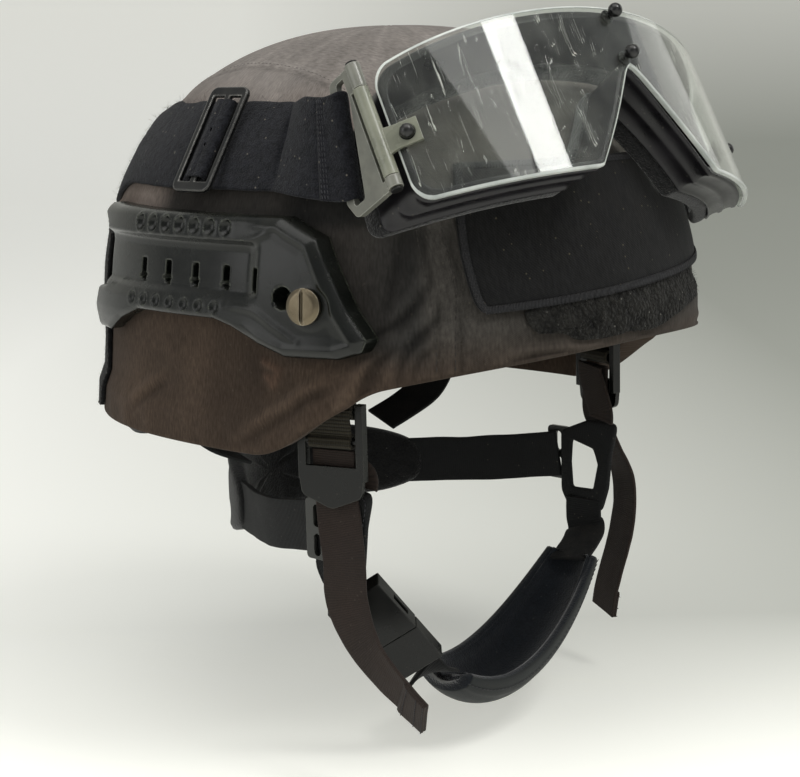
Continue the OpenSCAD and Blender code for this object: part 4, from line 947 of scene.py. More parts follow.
def makeFibreTree():
    tree, given, out = startGeometry("looseFibres", {
        "Density": 40000.0, "Length": 0.003, "Spread": 1.1, "Seed": 5,
    })
    points = putNode(tree, "GeometryNodeDistributePointsOnFaces", {
        "Mesh": given["Geometry"], "Density": given["Density"], "Seed": given["Seed"],
    })
    bend = putNode(tree, "GeometryNodeCurveQuadraticBezier", {
        "Resolution": 4, "Start": (0, 0, -0.05), "Middle": (0.05, 0.1, 0.6), "End": (0.5, 0.0, 0.85),
    })
    ring = putNode(tree, "GeometryNodeCurvePrimitiveCircle", {"Resolution": 3, "Radius": 0.012}, mode="RADIUS")
    hair = putNode(tree, "GeometryNodeCurveToMesh", {
        "Curve": bend.outputs[0], "Profile Curve": ring.outputs[0], "Fill Caps": True,
    })
    tilt = putNode(tree, "FunctionNodeRandomValue", {"Seed": given["Seed"]}, data_type="FLOAT_VECTOR")
    spin = putNode(tree, "ShaderNodeVectorMath", {0: tilt.outputs[0], 1: (0.5, 0.5, 0.5)},
                   operation="SUBTRACT")
    reach = times(tree, given["Spread"], 2.0)
    angles = putNode(tree, "ShaderNodeVectorMath", {0: spin.outputs[0], 1: combine(tree, reach, reach, 6.28)},
                     operation="MULTIPLY")
    turned = putNode(tree, "FunctionNodeRotateRotation", {
        0: points.outputs["Rotation"], 1: angles.outputs[0],
    }, rotation_space="LOCAL")
    sized = putNode(tree, "FunctionNodeRandomValue", {2: 0.35, 3: 1.0, "Seed": given["Seed"]})
    grown = putNode(tree, "GeometryNodeInstanceOnPoints", {
        "Points": points.outputs["Points"], "Instance": hair.outputs[0], "Rotation": turned.outputs[0],
        "Scale": times(tree, sized.outputs[1], given["Length"]),
    })
    real = putNode(tree, "GeometryNodeRealizeInstances", {"Geometry": grown.outputs[0]})
    return paintGeometry(tree, given, out, real.outputs[0])


stitchTree = makeStitchTree()
fibreTree = makeFibreTree()


def runTree(tree, mesh, name, inputs, body):
    carrier = addObject(name + "Carrier", mesh)
    modifier = carrier.modifiers.new(name, "NODES")
    modifier.node_group = tree
    for socket in tree.interface.items_tree:
        if socket.in_out == "INPUT" and socket.name in inputs:
            modifier[socket.identifier] = inputs[socket.name]
    carrier.update_tag()
    done = bake(carrier)
    bpy.data.objects.remove(carrier)
    return place(name, done, body)


# stitches along lines of points with the surface's normal at each, in millimetres
def sew(name, lines, body, key, spacing=3.0, length=2.3, thick=0.5, turn=0.0, rise=0.1, jitter=0.12, seed=3):
    points, edges, normals = [], [], []
    for line, facing in lines:
        start = len(points)
        points.extend((np.asarray(line) * mm).tolist())
        normals.extend(np.asarray(facing).tolist())
        edges.extend([(start + i, start + i + 1) for i in range(len(line) - 1)])
    mesh = bpy.data.meshes.new(name + "Path")
    mesh.from_pydata(points, edges, [])
    attribute = mesh.attributes.new("pathNormal", "FLOAT_VECTOR", "POINT")
    attribute.data.foreach_set("vector", np.asarray(normals, np.float32).ravel())
    return runTree(stitchTree, mesh, name, {
        "Spacing": spacing * mm, "Length": length * mm, "Thick": thick * mm, "Turn": turn, "Rise": rise * mm,
        "Jitter": jitter, "Seed": seed, "Material": materials[key],
    }, body)


def growFibres(name, grids, body, key, density, length, spread, seed):
    sheets = Sheets()
    for grid in grids:
        sheets.grid(grid)
    mesh = sheets.make(name + "Base", [key])
    return runTree(fibreTree, mesh, name, {
        "Density": density, "Length": length * mm, "Spread": spread, "Seed": seed, "Material": materials[key],
    }, body)


print("helpers ready")


# elastic strap: its height on the dome and where it stays clear of the cover
goggles = {
    "lean": 32.0, "yaw": -6.0, "roll": 5.0, "reach": 142.0, "height": 106.0,
    "lensHalf": 100.0, "lensBow": 45.0, "lensRise": 38.0, "lensFall": 36.0, "wall": 2.4, "turn": 63.0,
    "pinX": 103.5, "pinY": 49.0, "barLow": (74.0, -16.0), "barHigh": (62.0, 29.0), "foam": 8.0,
    "sweptR": 146.5, "sweptHalf": 125.0, "corner": 9, "noseHalf": 18.5, "noseSoft": 2.4, "noseTop": 10,
    "girth": 112, "barIn": 1.5, "frameTop": -3.9,
}
strap = {"width": 38.0, "thick": 2.4, "share": 0.93, "contact": 16.0, "backMid": 63.0, "off": 0.3,
         "low": 59.8}


def turnAbout(p, axis, angle):
    c, s = math.cos(math.radians(angle)), math.sin(math.radians(angle))
    x, y, z = p[..., 0], p[..., 1], p[..., 2]
    if axis == "x":
        return np.stack([x, y * c - z * s, y * s + z * c], -1)
    if axis == "y":
        return np.stack([x * c + z * s, y, z * c - x * s], -1)
    return np.stack([x * c - y * s, x * s + y * c, z], -1)


def seated(p):
    p = turnAbout(np.asarray(p, float), "x", -goggles["lean"])
    p = p + np.array([0, -goggles["reach"], goggles["height"]])
    return turnAbout(turnAbout(p, "y", goggles["roll"]), "z", goggles["yaw"])


def barEnd(side, upper):
    y, z = goggles["barHigh"] if upper else goggles["barLow"]
    return seated([side * goggles["pinX"], y, z + goggles["barIn"] * (-1 if upper else 1)])


def sideMid(side):
    middle = (barEnd(side, False)[2] + barEnd(side, True)[2]) / 2
    return max(middle, strap["low"] + strap["width"] / 2 * strap["share"])


def strapMid(phi):
    ends = np.where(np.cos(np.radians(phi)) < 0, sideMid(-1), sideMid(1))
    return mix(ends, strap["backMid"], easeIn((np.sin(np.radians(phi)) - 0.6) / 0.4))


creases = {
    "folds": [
        ([(-142.6, 10.1), (-140.9, 18.9), (-139.5, 32.4), (-138.6, 41.8), (-138.3, 52.2)], 1.5, 2.0),
        ([(-146.1, -17.9), (-144.6, -7.8), (-142.2, 1.3), (-139.1, 6.3), (-136.2, 10.2)], 1.9, 2.2),
        ([(-139.1, -9.4), (-137.5, 2.4), (-134.9, 10.2), (-132, 17.9), (-130.6, 25.5)], 1.7, 2.0),
        ([(-136.3, -7.4), (-134.6, 2.4), (-132.1, 6.3)], 1.1, 1.6),
        ([(-142.1, 12.1), (-137.7, 18), (-134.7, 25.7), (-132.1, 35.1)], 1.3, 1.9),
        ([(-121.0, -3.0), (-118.0, 1.5), (-112.0, 3.0), (-104.0, 1.8)], 0.8, 1.8),
        ([(-160.0, -22.0), (-155.5, -14.0), (-150.0, -8.0)], 1.2, 2.4),
        ([(-171.0, -36.0), (-164.0, -26.0), (-158.5, -19.0)], 1.0, 2.6),
        ([(-150.0, -30.0), (-147.5, -20.0), (-146.5, -12.0)], 1.3, 2.2),
        ([(-207.0, -30.0), (-200.0, -20.0), (-194.0, -14.0)], 0.9, 2.6),
        ([(-236.0, 60.0), (-228.0, 52.0), (-218.0, 49.0)], 0.8, 2.6),
    ],
    "seams": [
        [(-132.8, 62), (-132.8, 53), (-132, 40.8), (-130.8, 26.5), (-130.2, 10.1), (-130.2, -8.5),
         (-130.4, -17.5)],
        [(-128.6, 62), (-128, 48.1), (-126.8, 34.8), (-126.4, 22.4), (-127, 6), (-127.1, -6.7),
         (-127.2, -16)],
    ],
    "tuck": [(-164.6, -3.2), (-161.4, -5.8), (-162.7, -12.6), (-164.1, -9.3)],
}
# the cover's colours in linear light; "front" is painted shade of the goggles and "shade" is painted shade over
# dark cloth
cover = {
    "columns": 400, "crownRows": 112, "sideRows": 78, "seamX": 70.0, "seamSlope": 0.172, "split": 30.0,
    "top": (0.36, 0.325, 0.30), "side": (0.38, 0.32, 0.285), "low": (0.104, 0.072, 0.052),
    "front": (0.088, 0.083, 0.075), "shade": (0.030, 0.030, 0.029),
    "tuck": (0.17, 0.10, 0.07), "seamInset": 2.6,
    "hem": ((2.02, 0.35), (1.75, -0.1), (1.2, -0.4), (0.4, -0.5), (-3.0, -0.5), (-8.0, -0.5), (-11.6, -0.5),
            (-12.4, -0.3), (-12.8, 0.3), (-12.8, 6.0), (-12.8, 11.4), (-12.5, 11.9), (-12.0, 11.9),
            (-11.65, 11.4), (-11.6, 6.0), (-11.6, 2.0)),
}


def planePlace(phi, z):
    return 125 * np.radians(phi), z


def inPlane(line):
    line = np.asarray(line, float)
    return np.stack(planePlace(line[:, 0], line[:, 1]), -1)


def freeOfPieces(phi, z):
    flat = domeAt(phi, z)
    y = flat[..., 1]
    railed = easeIn((y + 88) / 5) * easeIn((92 - y) / 5) * easeIn((62 - z) / 4) * easeIn((z + 2) / 4)
    railed = np.where(np.abs(flat[..., 0]) > 60, railed, 0)
    strapped = easeIn((22 - np.abs(z - strapMid(phi))) / 4) * easeIn((y + 42) / 6)
    d = np.abs((phi + 90 + 180) % 360 - 180)
    patched = easeIn((38.5 - d) / 3) * easeIn((z - 16) / 4) * easeIn((80 - z) / 4)
    field = easeIn((28 - d) / 3) * easeIn((z - 2) / 3) * easeIn((26 - z) / 3)
    panel = easeIn((51 - np.abs((phi - 90 + 180) % 360 - 180)) / 3) * easeIn((48 - z) / 4)
    return 1 - np.clip(np.maximum.reduce([railed, strapped, patched, field, panel]), 0, 1)


def coverRelief(phi, z):
    x, y = planePlace(phi, z)
    height = np.zeros(np.shape(phi))
    for mirrored in (False, True):
        here = -180 - phi if mirrored else phi
        here = (here + 270) % 360 - 270
        px, py = planePlace(here, z)
        strength = 0.7 if mirrored else 1.25
        for line, tall, wide in creases["folds"]:
            d, sideOf, t = lineDistance(px, py, inPlane(smoothLine(line, 4)))
            fade = np.sqrt(np.clip(np.sin(np.pi * np.clip(t, 0.02, 0.98)), 0, 1))
            ridge = np.exp(-((d - 0.4 * wide * sideOf) / wide) ** 2)
            trough = np.exp(-((d * sideOf + 1.5 * wide) / (0.9 * wide)) ** 2)
            height += strength * tall * fade * (ridge - 0.75 * trough)
        for line in creases["seams"]:
            d = lineDistance(px, py, inPlane(smoothLine(line, 4)))[0]
            height += -0.75 * np.exp(-(d / 1.1) ** 2) + 0.5 * np.exp(-((d - 2.4) / 1.3) ** 2)
        d = lineDistance(px, py, inPlane(creases["tuck"]))[0]
        height += strength * 0.9 * np.exp(-(d / 1.6) ** 2)
    above = z - rimHeight(phi)
    gathers = waves(x, y * 0.25, 11, 8, 26, 9) * np.exp(-np.clip(above, 0, 60) / 13) * 0.45
    broad = waves(x, y, 21, 10, 90, 22) * 0.42
    cornered = easeIn((fromFront(phi) - 30) / 12) * easeIn((78 - fromFront(phi)) / 14) * easeIn((75 - z) / 25)
    ripples = waves(x * 1.2, y * 0.55, 31, 9, 30, 10) * 0.4 * cornered
    above = easeIn((z - 96) / 14)
    height = height + gathers + broad * (1 - 0.5 * above) + ripples
    free = freeOfPieces(phi, z)
    return np.where(height > 0.1, 0.1 + (np.minimum(height, 2.6) - 0.1) * free, np.maximum(height, -1.0))


def makeCover():
    phi = np.linspace(-270, 90, cover["columns"] + 1)[None, :]
    rows = []
    start = math.asin(cover["split"] / dome["crown"])
    for i in range(cover["crownRows"]):
        angle = mix(math.pi / 2, start, (i / cover["crownRows"]) ** 0.96)
        rows.append(np.full(phi.shape[1], dome["crown"] * math.sin(angle)))
    for i in range(cover["sideRows"] + 1):
        rows.append(mix(cover["split"], rimHeight(phi[0]) + 1.0, i / cover["sideRows"]))
    outside = len(rows)
    for off, lift in cover["hem"]:
        rows.append(rimHeight(phi[0]) + lift)
    z = np.array(rows)
    phis = np.broadcast_to(phi, z.shape)
    relief = coverRelief(phis[:outside], z[:outside])
    seamD = np.abs(domeAt(phis, z)[..., 0]) - (cover["seamX"] - cover["seamSlope"] * domeAt(phis, z)[..., 1])
    high = easeIn((z - 50) / 12)
    welt = 0.45 * np.exp(-((seamD[:outside] + 2.2) / 1.9) ** 2) - 0.6 * np.exp(-(seamD[:outside] / 1.3) ** 2)
    relief = relief + welt * high[:outside] * freeOfPieces(phis[:outside], z[:outside])
    relief[-1] *= 0.3
    grid = np.empty(z.shape + (3,))
    grid[:outside] = coverAt(phis[:outside], z[:outside], relief)
    for i, (off, lift) in enumerate(cover["hem"], outside):
        grid[i] = domeAt(phi[0], z[i], off)
    grid[0] = grid[0].mean(0)
    grid[:, -1] = grid[:, 0]

    # colour: greyed and faded on top, browner and darker low down, with painted light and shade along the folds
    x, y = planePlace(phis, z)
    drift = waves(x, y, 41, 9, 120, 30)
    fade = easeIn((z - 30 + 14 * drift) / 62)[..., None]
    topness = easeIn((z - 88 + 6 * drift) / 30)[..., None]
    colour = mix(np.array(cover["low"]), np.array(cover["side"]), fade)
    colour = mix(colour, np.array(cover["top"]), topness)
    # painted shade of the goggles: the front of the cover, behind the lens and frame, is darker
    ahead = (easeIn((58 - fromFront(phis)) / 16) * easeIn((118 - z) / 20) * easeIn((z + 14) / 30))[..., None]
    colour = mix(colour, np.array(cover["front"]), ahead * 0.9)
    # painted shade from the rail's front end to the paired seams, over dark unfaded cloth
    band = easeIn((-130 - phis) / 5) * easeIn((phis + 164) / 7) * easeIn((z + 6) / 14) * easeIn((84 - z) / 22)
    colour = mix(colour, np.array(cover["shade"]), (0.85 * band)[..., None])
    # painted shadow of the strap on the cover down to the rail, over dark dirty cloth
    under = easeIn((phis + 203) / 8) * easeIn((-134 - phis) / 10) * easeIn((z - 50) / 6)
    under = under * easeIn((strapMid(phis) - 10 - z) / 9)
    colour = mix(colour, np.array(cover["shade"]) * 0.7, (0.9 * under)[..., None])
    smudge = waves(x * 1.6, y * 0.5, 43, 9, 40, 9)
    colour = colour * (1 + 0.09 * smudge + 0.06 * drift)[..., None]
    # painted light and shade along the folds: raised cloth lighter, troughs and creases darker
    full = np.zeros(z.shape)
    full[:outside] = np.clip(relief, -1, 1.6)
    colour = colour * (1 + 0.36 * full)[..., None]
    tinted = np.exp(-(lineDistance(x, y, inPlane(creases["tuck"]))[0] / 2.0) ** 2)
    colour = mix(colour, np.array(cover["tuck"]), (0.6 * tinted)[..., None])

    crown = dome["crown"]
    sideUv = np.stack([x * mm, np.where(z > 0, crown * np.arcsin(np.clip(z / crown, 0, 1)), z) * mm], -1)
    flat = domeAt(phis, z)
    over = 137 * np.arctan2(flat[..., 1], np.maximum(z, 0.01)) - np.sign(flat[..., 1]) * np.minimum(z, 0)
    topUv = np.stack([flat[..., 0] * mm, over * mm], -1)
    sheets = Sheets()
    sheets.grid(grid, sideUv, 0, np.clip(colour, 0.01, 0.9))
    onTop = (corners(seamD).mean(-1) < 0).reshape(-1)
    sheets.uvs[0] = np.where(np.repeat(onTop, 4)[:, None], corners(topUv).reshape(-1, 2), sheets.uvs[0])
    return sheets.show("coverShown", ["cover"], "helmet", ["fabric_cover"], "cover_cloth")


print("cover ready", len(makeCover().data.polygons))


# stitches along the crown seam and the paired front seams, on both sides
def seamLines():
    lines = []
    for k in (-1, 1):
        y = np.linspace(-108, 92, 120)
        x = k * (cover["seamX"] - cover["seamSlope"] * y) - k * cover["seamInset"]
        z, share = crownAt(x, y)
        keep = (z > 78) & (share < 0.98)
        phi = np.degrees(np.arctan2(y[keep], x[keep]))
        phi = np.where(phi > 90, phi - 360, phi)
        lines.append((coverAt(phi, z[keep], coverRelief(phi, z[keep]) + 0.25), domeNormal(phi, z[keep])))
        for line in creases["seams"]:
            route = smoothLine(line, 6)
            phi, z = route[:, 0] - 0.9, route[:, 1]
            above = z > rimHeight(phi) + 1.5
            phi, z = phi[above], z[above]
            relief = coverRelief(phi, z)
            if k > 0:
                phi = -180 - phi
            lines.append((coverAt(phi, z, relief + 0.2), domeNormal(phi, z)))
    return lines


sew("coverStitches", seamLines(), "helmet", "coverThread", spacing=2.9, length=2.2, thick=0.42, rise=0.02)


# aramid shell and its rubber edge: pairs of a distance off the dome and a height over the rim
shell = {
    "outer": 132.0, "inner": 124.0, "turn": 0.2, "lift": 3.6,
    "lip": ((-1.8, 3.1), (-2.4, 3.0), (-8.6, 3.0), (-9.2, 3.1)),
    "trim": ((0.2, 12.0), (0.2, 3.0), (0.1, 1.9), (-0.5, 1.35), (-1.4, 1.3), (-9.4, 1.3), (-10.6, 1.35),
             (-11.1, 1.9), (-11.2, 3.0), (-11.2, 12.0), (-10.6, 12.2), (-9.8, 12.0), (-9.8, 2.7),
             (-1.2, 2.7), (-1.2, 12.0), (-0.4, 12.2), (0.2, 12.0)),
}


def makeShell():
    phi = np.linspace(-270, 90, 241)[None, :]
    rim, turn = rimHeight(phi[0]), shell["turn"]
    rows, offs = [], []

    def put(off, z):
        rows.append(np.broadcast_to(z, rim.shape))
        offs.append(off)

    for i in range(60):
        put(-1.5, shell["outer"] * math.sin(mix(math.pi / 2, turn, i / 59)))
    for i in range(1, 24):
        put(-1.5, mix(shell["outer"] * math.sin(turn), rim + shell["lift"], i / 23))
    for off, lift in shell["lip"]:
        put(off, rim + lift)
    for i in range(24):
        put(-9.5, mix(rim + shell["lift"], shell["inner"] * math.sin(turn), i / 23))
    for i in range(1, 60):
        put(-9.5, (shell["inner"] + 0.4) * math.sin(mix(turn, math.pi / 2, i / 59)))
    z = np.array(rows)
    grid = closeRing(domeAt(np.broadcast_to(phi, z.shape), z, np.array(offs)[:, None]), ends=False)
    grid[0], grid[-1] = grid[0].mean(0), grid[-1].mean(0)
    showGrid(grid, "shellShown", ["composite"], "helmet", ["ballistic_shell"], "composite")
    ring = np.stack([domeAt(phi[0], rim + lift, off) for off, lift in shell["trim"]])
    showGrid(closeRing(ring, ends=False), "trimShown", ["rubber"], "helmet", ["edge_trim"], "edge_rubber",
             sharp=50)


makeShell()


# loop cloth at the back, with a frayed edge
panel = {"middle": 90.0, "spread": 47.4, "low": -39.5, "high": 43.5, "fray": 0.7}


def makeRearPanel(setup):
    u = edgeSteps(96, 2.0, 0.012)[None, :]
    v = edgeSteps(70, 2.0, 0.02)[:, None]
    fullU, fullV = np.broadcast_arrays(u, v)
    rounded = np.sqrt(1 - 0.055 * fullV ** 8 * np.abs(fullU)), np.sqrt(1 - 0.06 * fullU ** 8 * np.abs(fullV))
    phi = setup["middle"] + setup["spread"] * fullU * rounded[0]
    z = mix(setup["low"], setup["high"], 0.5 + 0.5 * fullV * rounded[1])
    x, y = planePlace(phi, z)
    border = np.maximum(np.abs(fullU), np.abs(fullV)) ** 10
    phi = phi + np.sign(fullU) * border * waves(y, x * 0, 51, 9, 20, 2.4) * setup["fray"] / 2.2
    z = z + np.sign(fullV) * border * waves(x, y * 0, 52, 9, 20, 2.4) * setup["fray"] * 0.8
    puckers = 0.25 * waves(x, y, 53, 9, 30, 8)
    grid = coverAt(phi, z, 0.45 + 1.0 + puckers * 0.5)
    sheets = Sheets()
    thicken(sheets, grid, 1.9, edge=2, flip=True)
    sheets.show("loopPanelShown", ["loopPile"], "helmet", ["rear_loop_panel"], "loop_pile")
    edge = np.concatenate([grid[2], grid[:, -3], grid[-3][::-1], grid[:, 2][::-1]])
    normals = unit(edge * np.array([1, 1, 0.4]))
    sew("panelStitches", [(edge + normals * 0.95, normals)], "helmet", "coverThread", spacing=3.0, length=2.3,
        thick=0.45)
    return grid


panelGrid = makeRearPanel(panel)

# bare front patch with its overlocked border, and the worn loop cloth under it
patch = {
    "left": [(-123.3, 19.1), (-124.7, 24.3), (-126.2, 39.3), (-126.6, 51), (-126.6, 63), (-126.0, 76)],
    "right": [(-54, 29.6), (-54, 40), (-54, 52), (-54, 60), (-54, 68), (-54, 76)],
    "thick": 1.8, "border": 3.4,
}
loopField = {
    "outline": [(-116.0, 18.4), (-115.4, 12.7), (-112.8, 7.7), (-110, 9.6), (-107.1, 5.6), (-101.9, 4.6),
                (-95.9, 5.6),
                (-88.9, 5.0), (-83, 7.4), (-76, 10.9), (-70, 12.6), (-66, 18.0), (-70, 25.5), (-77, 25.8),
                (-85, 25.2), (-92, 24.6), (-101, 22.4), (-108, 21.0), (-113, 20.2)],
    "middle": (-92, 14.5), "perDegree": 2.18,
}


def makePatch(setup):
    left, right = smoothLine(setup["left"], 8), smoothLine(setup["right"], 8)
    count = len(left)
    v = np.interp(np.concatenate([[0, 0.002, 0.006], np.linspace(0.013, 0.987, 58), [0.994, 0.998, 1]]),
                  np.linspace(0, 1, count), np.arange(count))
    u = np.concatenate([[0, 0.001, 0.003], np.linspace(0.006, 0.994, 150), [0.997, 0.999, 1]])
    leftAt = np.stack([np.interp(v, np.arange(count), left[:, k]) for k in (0, 1)], -1)
    rightAt = np.stack([np.interp(v, np.arange(count), right[:, k]) for k in (0, 1)], -1)
    outline = mix(leftAt[:, None], rightAt[:, None], u[None, :, None])
    phi, z = outline[..., 0], outline[..., 1]
    x, y = planePlace(phi, z)
    tall, wide = y[-1, 0] - y[0, 0], x[0, -1] - x[0, 0]
    edge = np.minimum(np.minimum(u, 1 - u)[None, :] * wide,
                      np.minimum(v, count - 1 - v)[:, None] / (count - 1) * tall)
    bead = 0.75 * np.sqrt(np.clip(1 - ((edge - setup["border"] / 2) / (setup["border"] / 2)) ** 2, 0, 1))
    bead = np.where(edge < setup["border"], bead, 0)
    dip = -0.25 * np.exp(-((edge - setup["border"] - 0.5) / 0.5) ** 2)
    pucker = 0.14 * waves(x, y, 61, 9, 40, 9)
    grid = coverAt(phi, z, 0.45 + setup["thick"] / 2 + pucker)
    sheets = Sheets()
    thicken(sheets, grid, setup["thick"], rise=bead + dip, edge=3)
    sheets.show("frontPatchShown", ["patchFace"], "helmet", ["front_patch"], "patch_cloth")
    middle = setup["border"] / 2
    iu = (np.abs(u * wide - middle)).argmin()
    iv = (np.abs(v / (count - 1) * tall - middle)).argmin()
    loop = np.concatenate([
        np.stack([phi[iv, iu:-iu - 1], z[iv, iu:-iu - 1]], -1),
        np.stack([phi[iv:-iv - 1, -iu - 1], z[iv:-iv - 1, -iu - 1]], -1),
        np.stack([phi[-iv - 1, iu + 1:-iu][::-1], z[-iv - 1, iu + 1:-iu][::-1]], -1),
        np.stack([phi[iv:-iv, iu][::-1], z[iv:-iv, iu][::-1]], -1),
    ])
    normals = domeNormal(loop[:, 0], loop[:, 1])
    places = coverAt(loop[:, 0], loop[:, 1], 0.45 + setup["thick"] + 0.45)
    sew("patchBorder", [(places, normals)], "helmet", "borderThread", spacing=0.62, length=3.7, thick=0.78,
        turn=1.36, rise=0.0, jitter=0.06)


def makeLoopField(setup):
    line = smoothLine(setup["outline"] + setup["outline"][:1], 10)[:-1]
    middle = np.array(setup["middle"])
    angles = np.linspace(0, 2 * np.pi, 181)
    away = line - middle
    away[:, 0] *= setup["perDegree"]
    turn = np.unwrap(np.arctan2(away[:, 1], away[:, 0]))
    if turn[-1] < turn[0]:
        turn, away = turn[::-1], away[::-1]
    far = np.hypot(away[:, 0], away[:, 1])
    reach = np.interp((angles - turn[0]) % (2 * np.pi), turn - turn[0], far, period=2 * np.pi)
    reach = reach + waves(angles * 40, angles * 0, 71, 10, 12, 1.6) * 0.5
    reach[-1] = reach[0]
    k = np.concatenate([np.linspace(0, 0.95, 30), [0.975, 0.993, 1.0]])[:, None]
    phi = middle[0] + k * reach * np.cos(angles) / setup["perDegree"]
    z = middle[1] + k * reach * np.sin(angles)
    x, y = planePlace(phi, z)
    lumps = 0.35 * waves(x, y, 72, 12, 9, 2.2) + 0.2 * waves(x, y, 73, 9, 20, 6)
    grid = coverAt(phi, z, 0.95)
    normals = domeNormal(phi, z)
    height = np.sqrt(1 - (1 - np.clip((1 - k) * 22, 0, 1)) ** 2)
    sheets = Sheets()
    sheets.grid(grid + normals * (height * (0.55 + lumps))[..., None])
    sheets.grid(grid - normals * (height * 0.45)[..., None])
    sheets.show("loopFieldShown", ["fieldPile"], "helmet", ["front_loop_field"], "loop_pile")
    growFibres("fieldFluff", [(grid + normals * (0.5 + lumps)[..., None])[:, ::3]], "helmet", "fibre",
               density=1.1e6, length=2.2, spread=1.5, seed=9)


makePatch(patch)
makeLoopField(loopField)
print("patches ready")


# elastic strap: one band round the back with its two free runs, bent between the helmet and the goggles
def runEdge(side, upper):
    phi = 180 + strap["contact"] if side < 0 else -strap["contact"]
    z = strapMid(phi) + (1 if upper else -1) * strap["width"] / 2 * strap["share"]
    return domeAt(phi, z, strap["off"] + strap["thick"] / 2), barEnd(side, upper)


def runPoint(side, upper, s, n=0.0):
    a, b = runEdge(side, upper)
    bow = n + 0.5 + 5 * np.sin(np.pi * s)
    return mix(a, b, np.asarray(s)[..., None]) + np.array([side, 0, 0]) * np.asarray(bow)[..., None]


def foldStart(side):
    a, b = runEdge(side, True)
    return 1 - 10 / np.linalg.norm(a - b)


def makeElastic(setup):
    t = edgeSteps(17, 2.0, 0.05) / 2 + 0.5
    band = np.linspace(180 + setup["contact"], -setup["contact"], 190)
    z = strapMid(band)[:, None] + (t[None, :] - 0.5) * setup["width"] * setup["share"]
    middle = domeAt(band[:, None], z, setup["off"] + setup["thick"] / 2)
    parts = []
    for side in (-1, 1):
        s = np.linspace(0, foldStart(side) + 0.012, 22)
        lowEdge, highEdge = runPoint(side, False, s, -0.5), runPoint(side, True, s, -0.5)
        parts.append(mix(lowEdge[:, None], highEdge[:, None], t[None, :, None]))
    grid = np.concatenate([parts[0][::-1][:-1], middle, parts[1][1:]])
    run = runAlong(grid[:, len(t) // 2])
    upper = waves(run, run * 0, 81, 10, 46, 5)
    lower = waves(run, run * 0, 82, 10, 46, 5) * 0.3
    across = unit(grid[:, -1] - grid[:, 0])
    grid = grid + across[:, None] * (mix(lower[:, None], upper[:, None], t[None, :]))[..., None]
    lumps = 0.28 * waves(run[:, None], t[None, :] * 38, 83, 12, 34, 5)
    tufts = np.abs(waves(run, run * 0, 84, 8, 30, 7))
    lumps = lumps + 0.5 * np.exp(-((t[None, :] - 0.93) / 0.07) ** 2) * tufts[:, None]
    sheets = Sheets()
    thicken(sheets, grid, setup["thick"], rise=np.clip(lumps, -0.3, 0.9), flip=True)
    piece = sheets.show("elasticStrap", ["elastic"])
    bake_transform(piece)
    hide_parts("goggle_strap", "strap_runs")
    return grid, gridNormals(grid) * -1


elasticGrid, elasticNormals = makeElastic(strap)


def smoothGrid(grid, passes):
    for _ in range(passes):
        inner = 0.25 * grid[:-2] + 0.5 * grid[1:-1] + 0.25 * grid[2:]
        grid = np.concatenate([grid[:1], inner, grid[-1:]])
    return grid


def makeStrapFold(name):
    k = 1 if name == "left" else -1
    start = foldStart(k)
    t = edgeSteps(13, 2.0, 0.07) / 2 + 0.5

    def across(lowEdge, highEdge):
        return mix(lowEdge[None], highEdge[None], t[:, None])

    def turned(angle, upper):
        y, z = goggles["barHigh"] if upper else goggles["barLow"]
        r, a = 3.55, math.radians(angle)
        return seated([k * (goggles["pinX"] + r * math.cos(a)), y - r * math.sin(a),
                       z + goggles["barIn"] * (-1 if upper else 1)])

    rows = []
    for s in np.linspace(start - 0.05, mix(start, 1, 0.35), 9):
        rows.append(across(runPoint(k, False, s, 1.25), runPoint(k, True, s, 1.25)))
    for angle in range(0, 181, 12):
        rows.append(across(turned(angle, False), turned(angle, True)))
    for s in np.linspace(mix(start, 1, 0.35), start, 8):
        rows.append(across(runPoint(k, False, s, -1.45), runPoint(k, True, s, -1.45)))
    grid = smoothGrid(np.array(rows), 3)
    sheets = Sheets()
    thicken(sheets, grid, 1.5, rise=0.1 * waves(grid[..., 2], grid[..., 1] * 2, 91, 7, 14, 4))
    place("strapFold" + name.capitalize(), sheets.make("strapFold" + name, ["elastic"]), "strap_loop_" + name,
          ["strap_fold_" + name], "elastic")
    lines = []
    out = np.array([k, 0.0, 0.0])
    for share in (0.22, 0.5, 0.8):
        s = mix(start - 0.03, mix(start, 1, 0.3), share)
        ends = runPoint(k, False, s, 2.15), runPoint(k, True, s, 2.15)
        row = mix(ends[0][None], ends[1][None], np.linspace(0.04, 0.96, 30)[:, None])
        lines.append((row, np.broadcast_to(out, row.shape)))
    sew("foldStitches" + name.capitalize(), lines, "strap_loop_" + name, "elasticThread", spacing=2.1,
        length=1.7, thick=0.45, rise=0.0)


for sideName in ("right", "left"):
    makeStrapFold(sideName)


# lens and frame
def visor(th, w, n):
    a = goggles["lensHalf"] / math.sin(math.radians(goggles["turn"]))
    b = goggles["lensBow"] / (1 - math.cos(math.radians(goggles["turn"])))
    s, c = np.sin(np.radians(th)), np.cos(np.radians(th))
    k = np.hypot(b * s, a * c)
    th, w, n = np.broadcast_arrays(th, w, n)
    return np.stack([(a + n * b / k) * s, b * (1 - c) - n * a * c / k, w + 0 * s], -1)


def lensCorner(th):
    d = (1 - np.abs(th) / goggles["turn"]) * 116
    r = goggles["corner"]
    return np.where(d < r, r - np.sqrt(np.clip(r ** 2 - (r - d) ** 2, 0, None)), 0)


def lensTop(th):
    return goggles["lensRise"] - 10 * (th / goggles["turn"]) ** 2 - lensCorner(th)


def lensLow(th):
    a, half, soft = np.abs(th), goggles["noseHalf"], goggles["noseSoft"]
    rise = np.clip((np.hypot(a, soft) - soft) / (math.hypot(half, soft) - soft), 0, 1)
    nose = mix(goggles["noseTop"], -goggles["lensFall"], rise ** 0.85)
    outer = -goggles["lensFall"] + 5 * np.clip((a - half) / (goggles["turn"] - half), 0, 1) ** 2
    return np.where(a < half, nose, outer) + lensCorner(th)


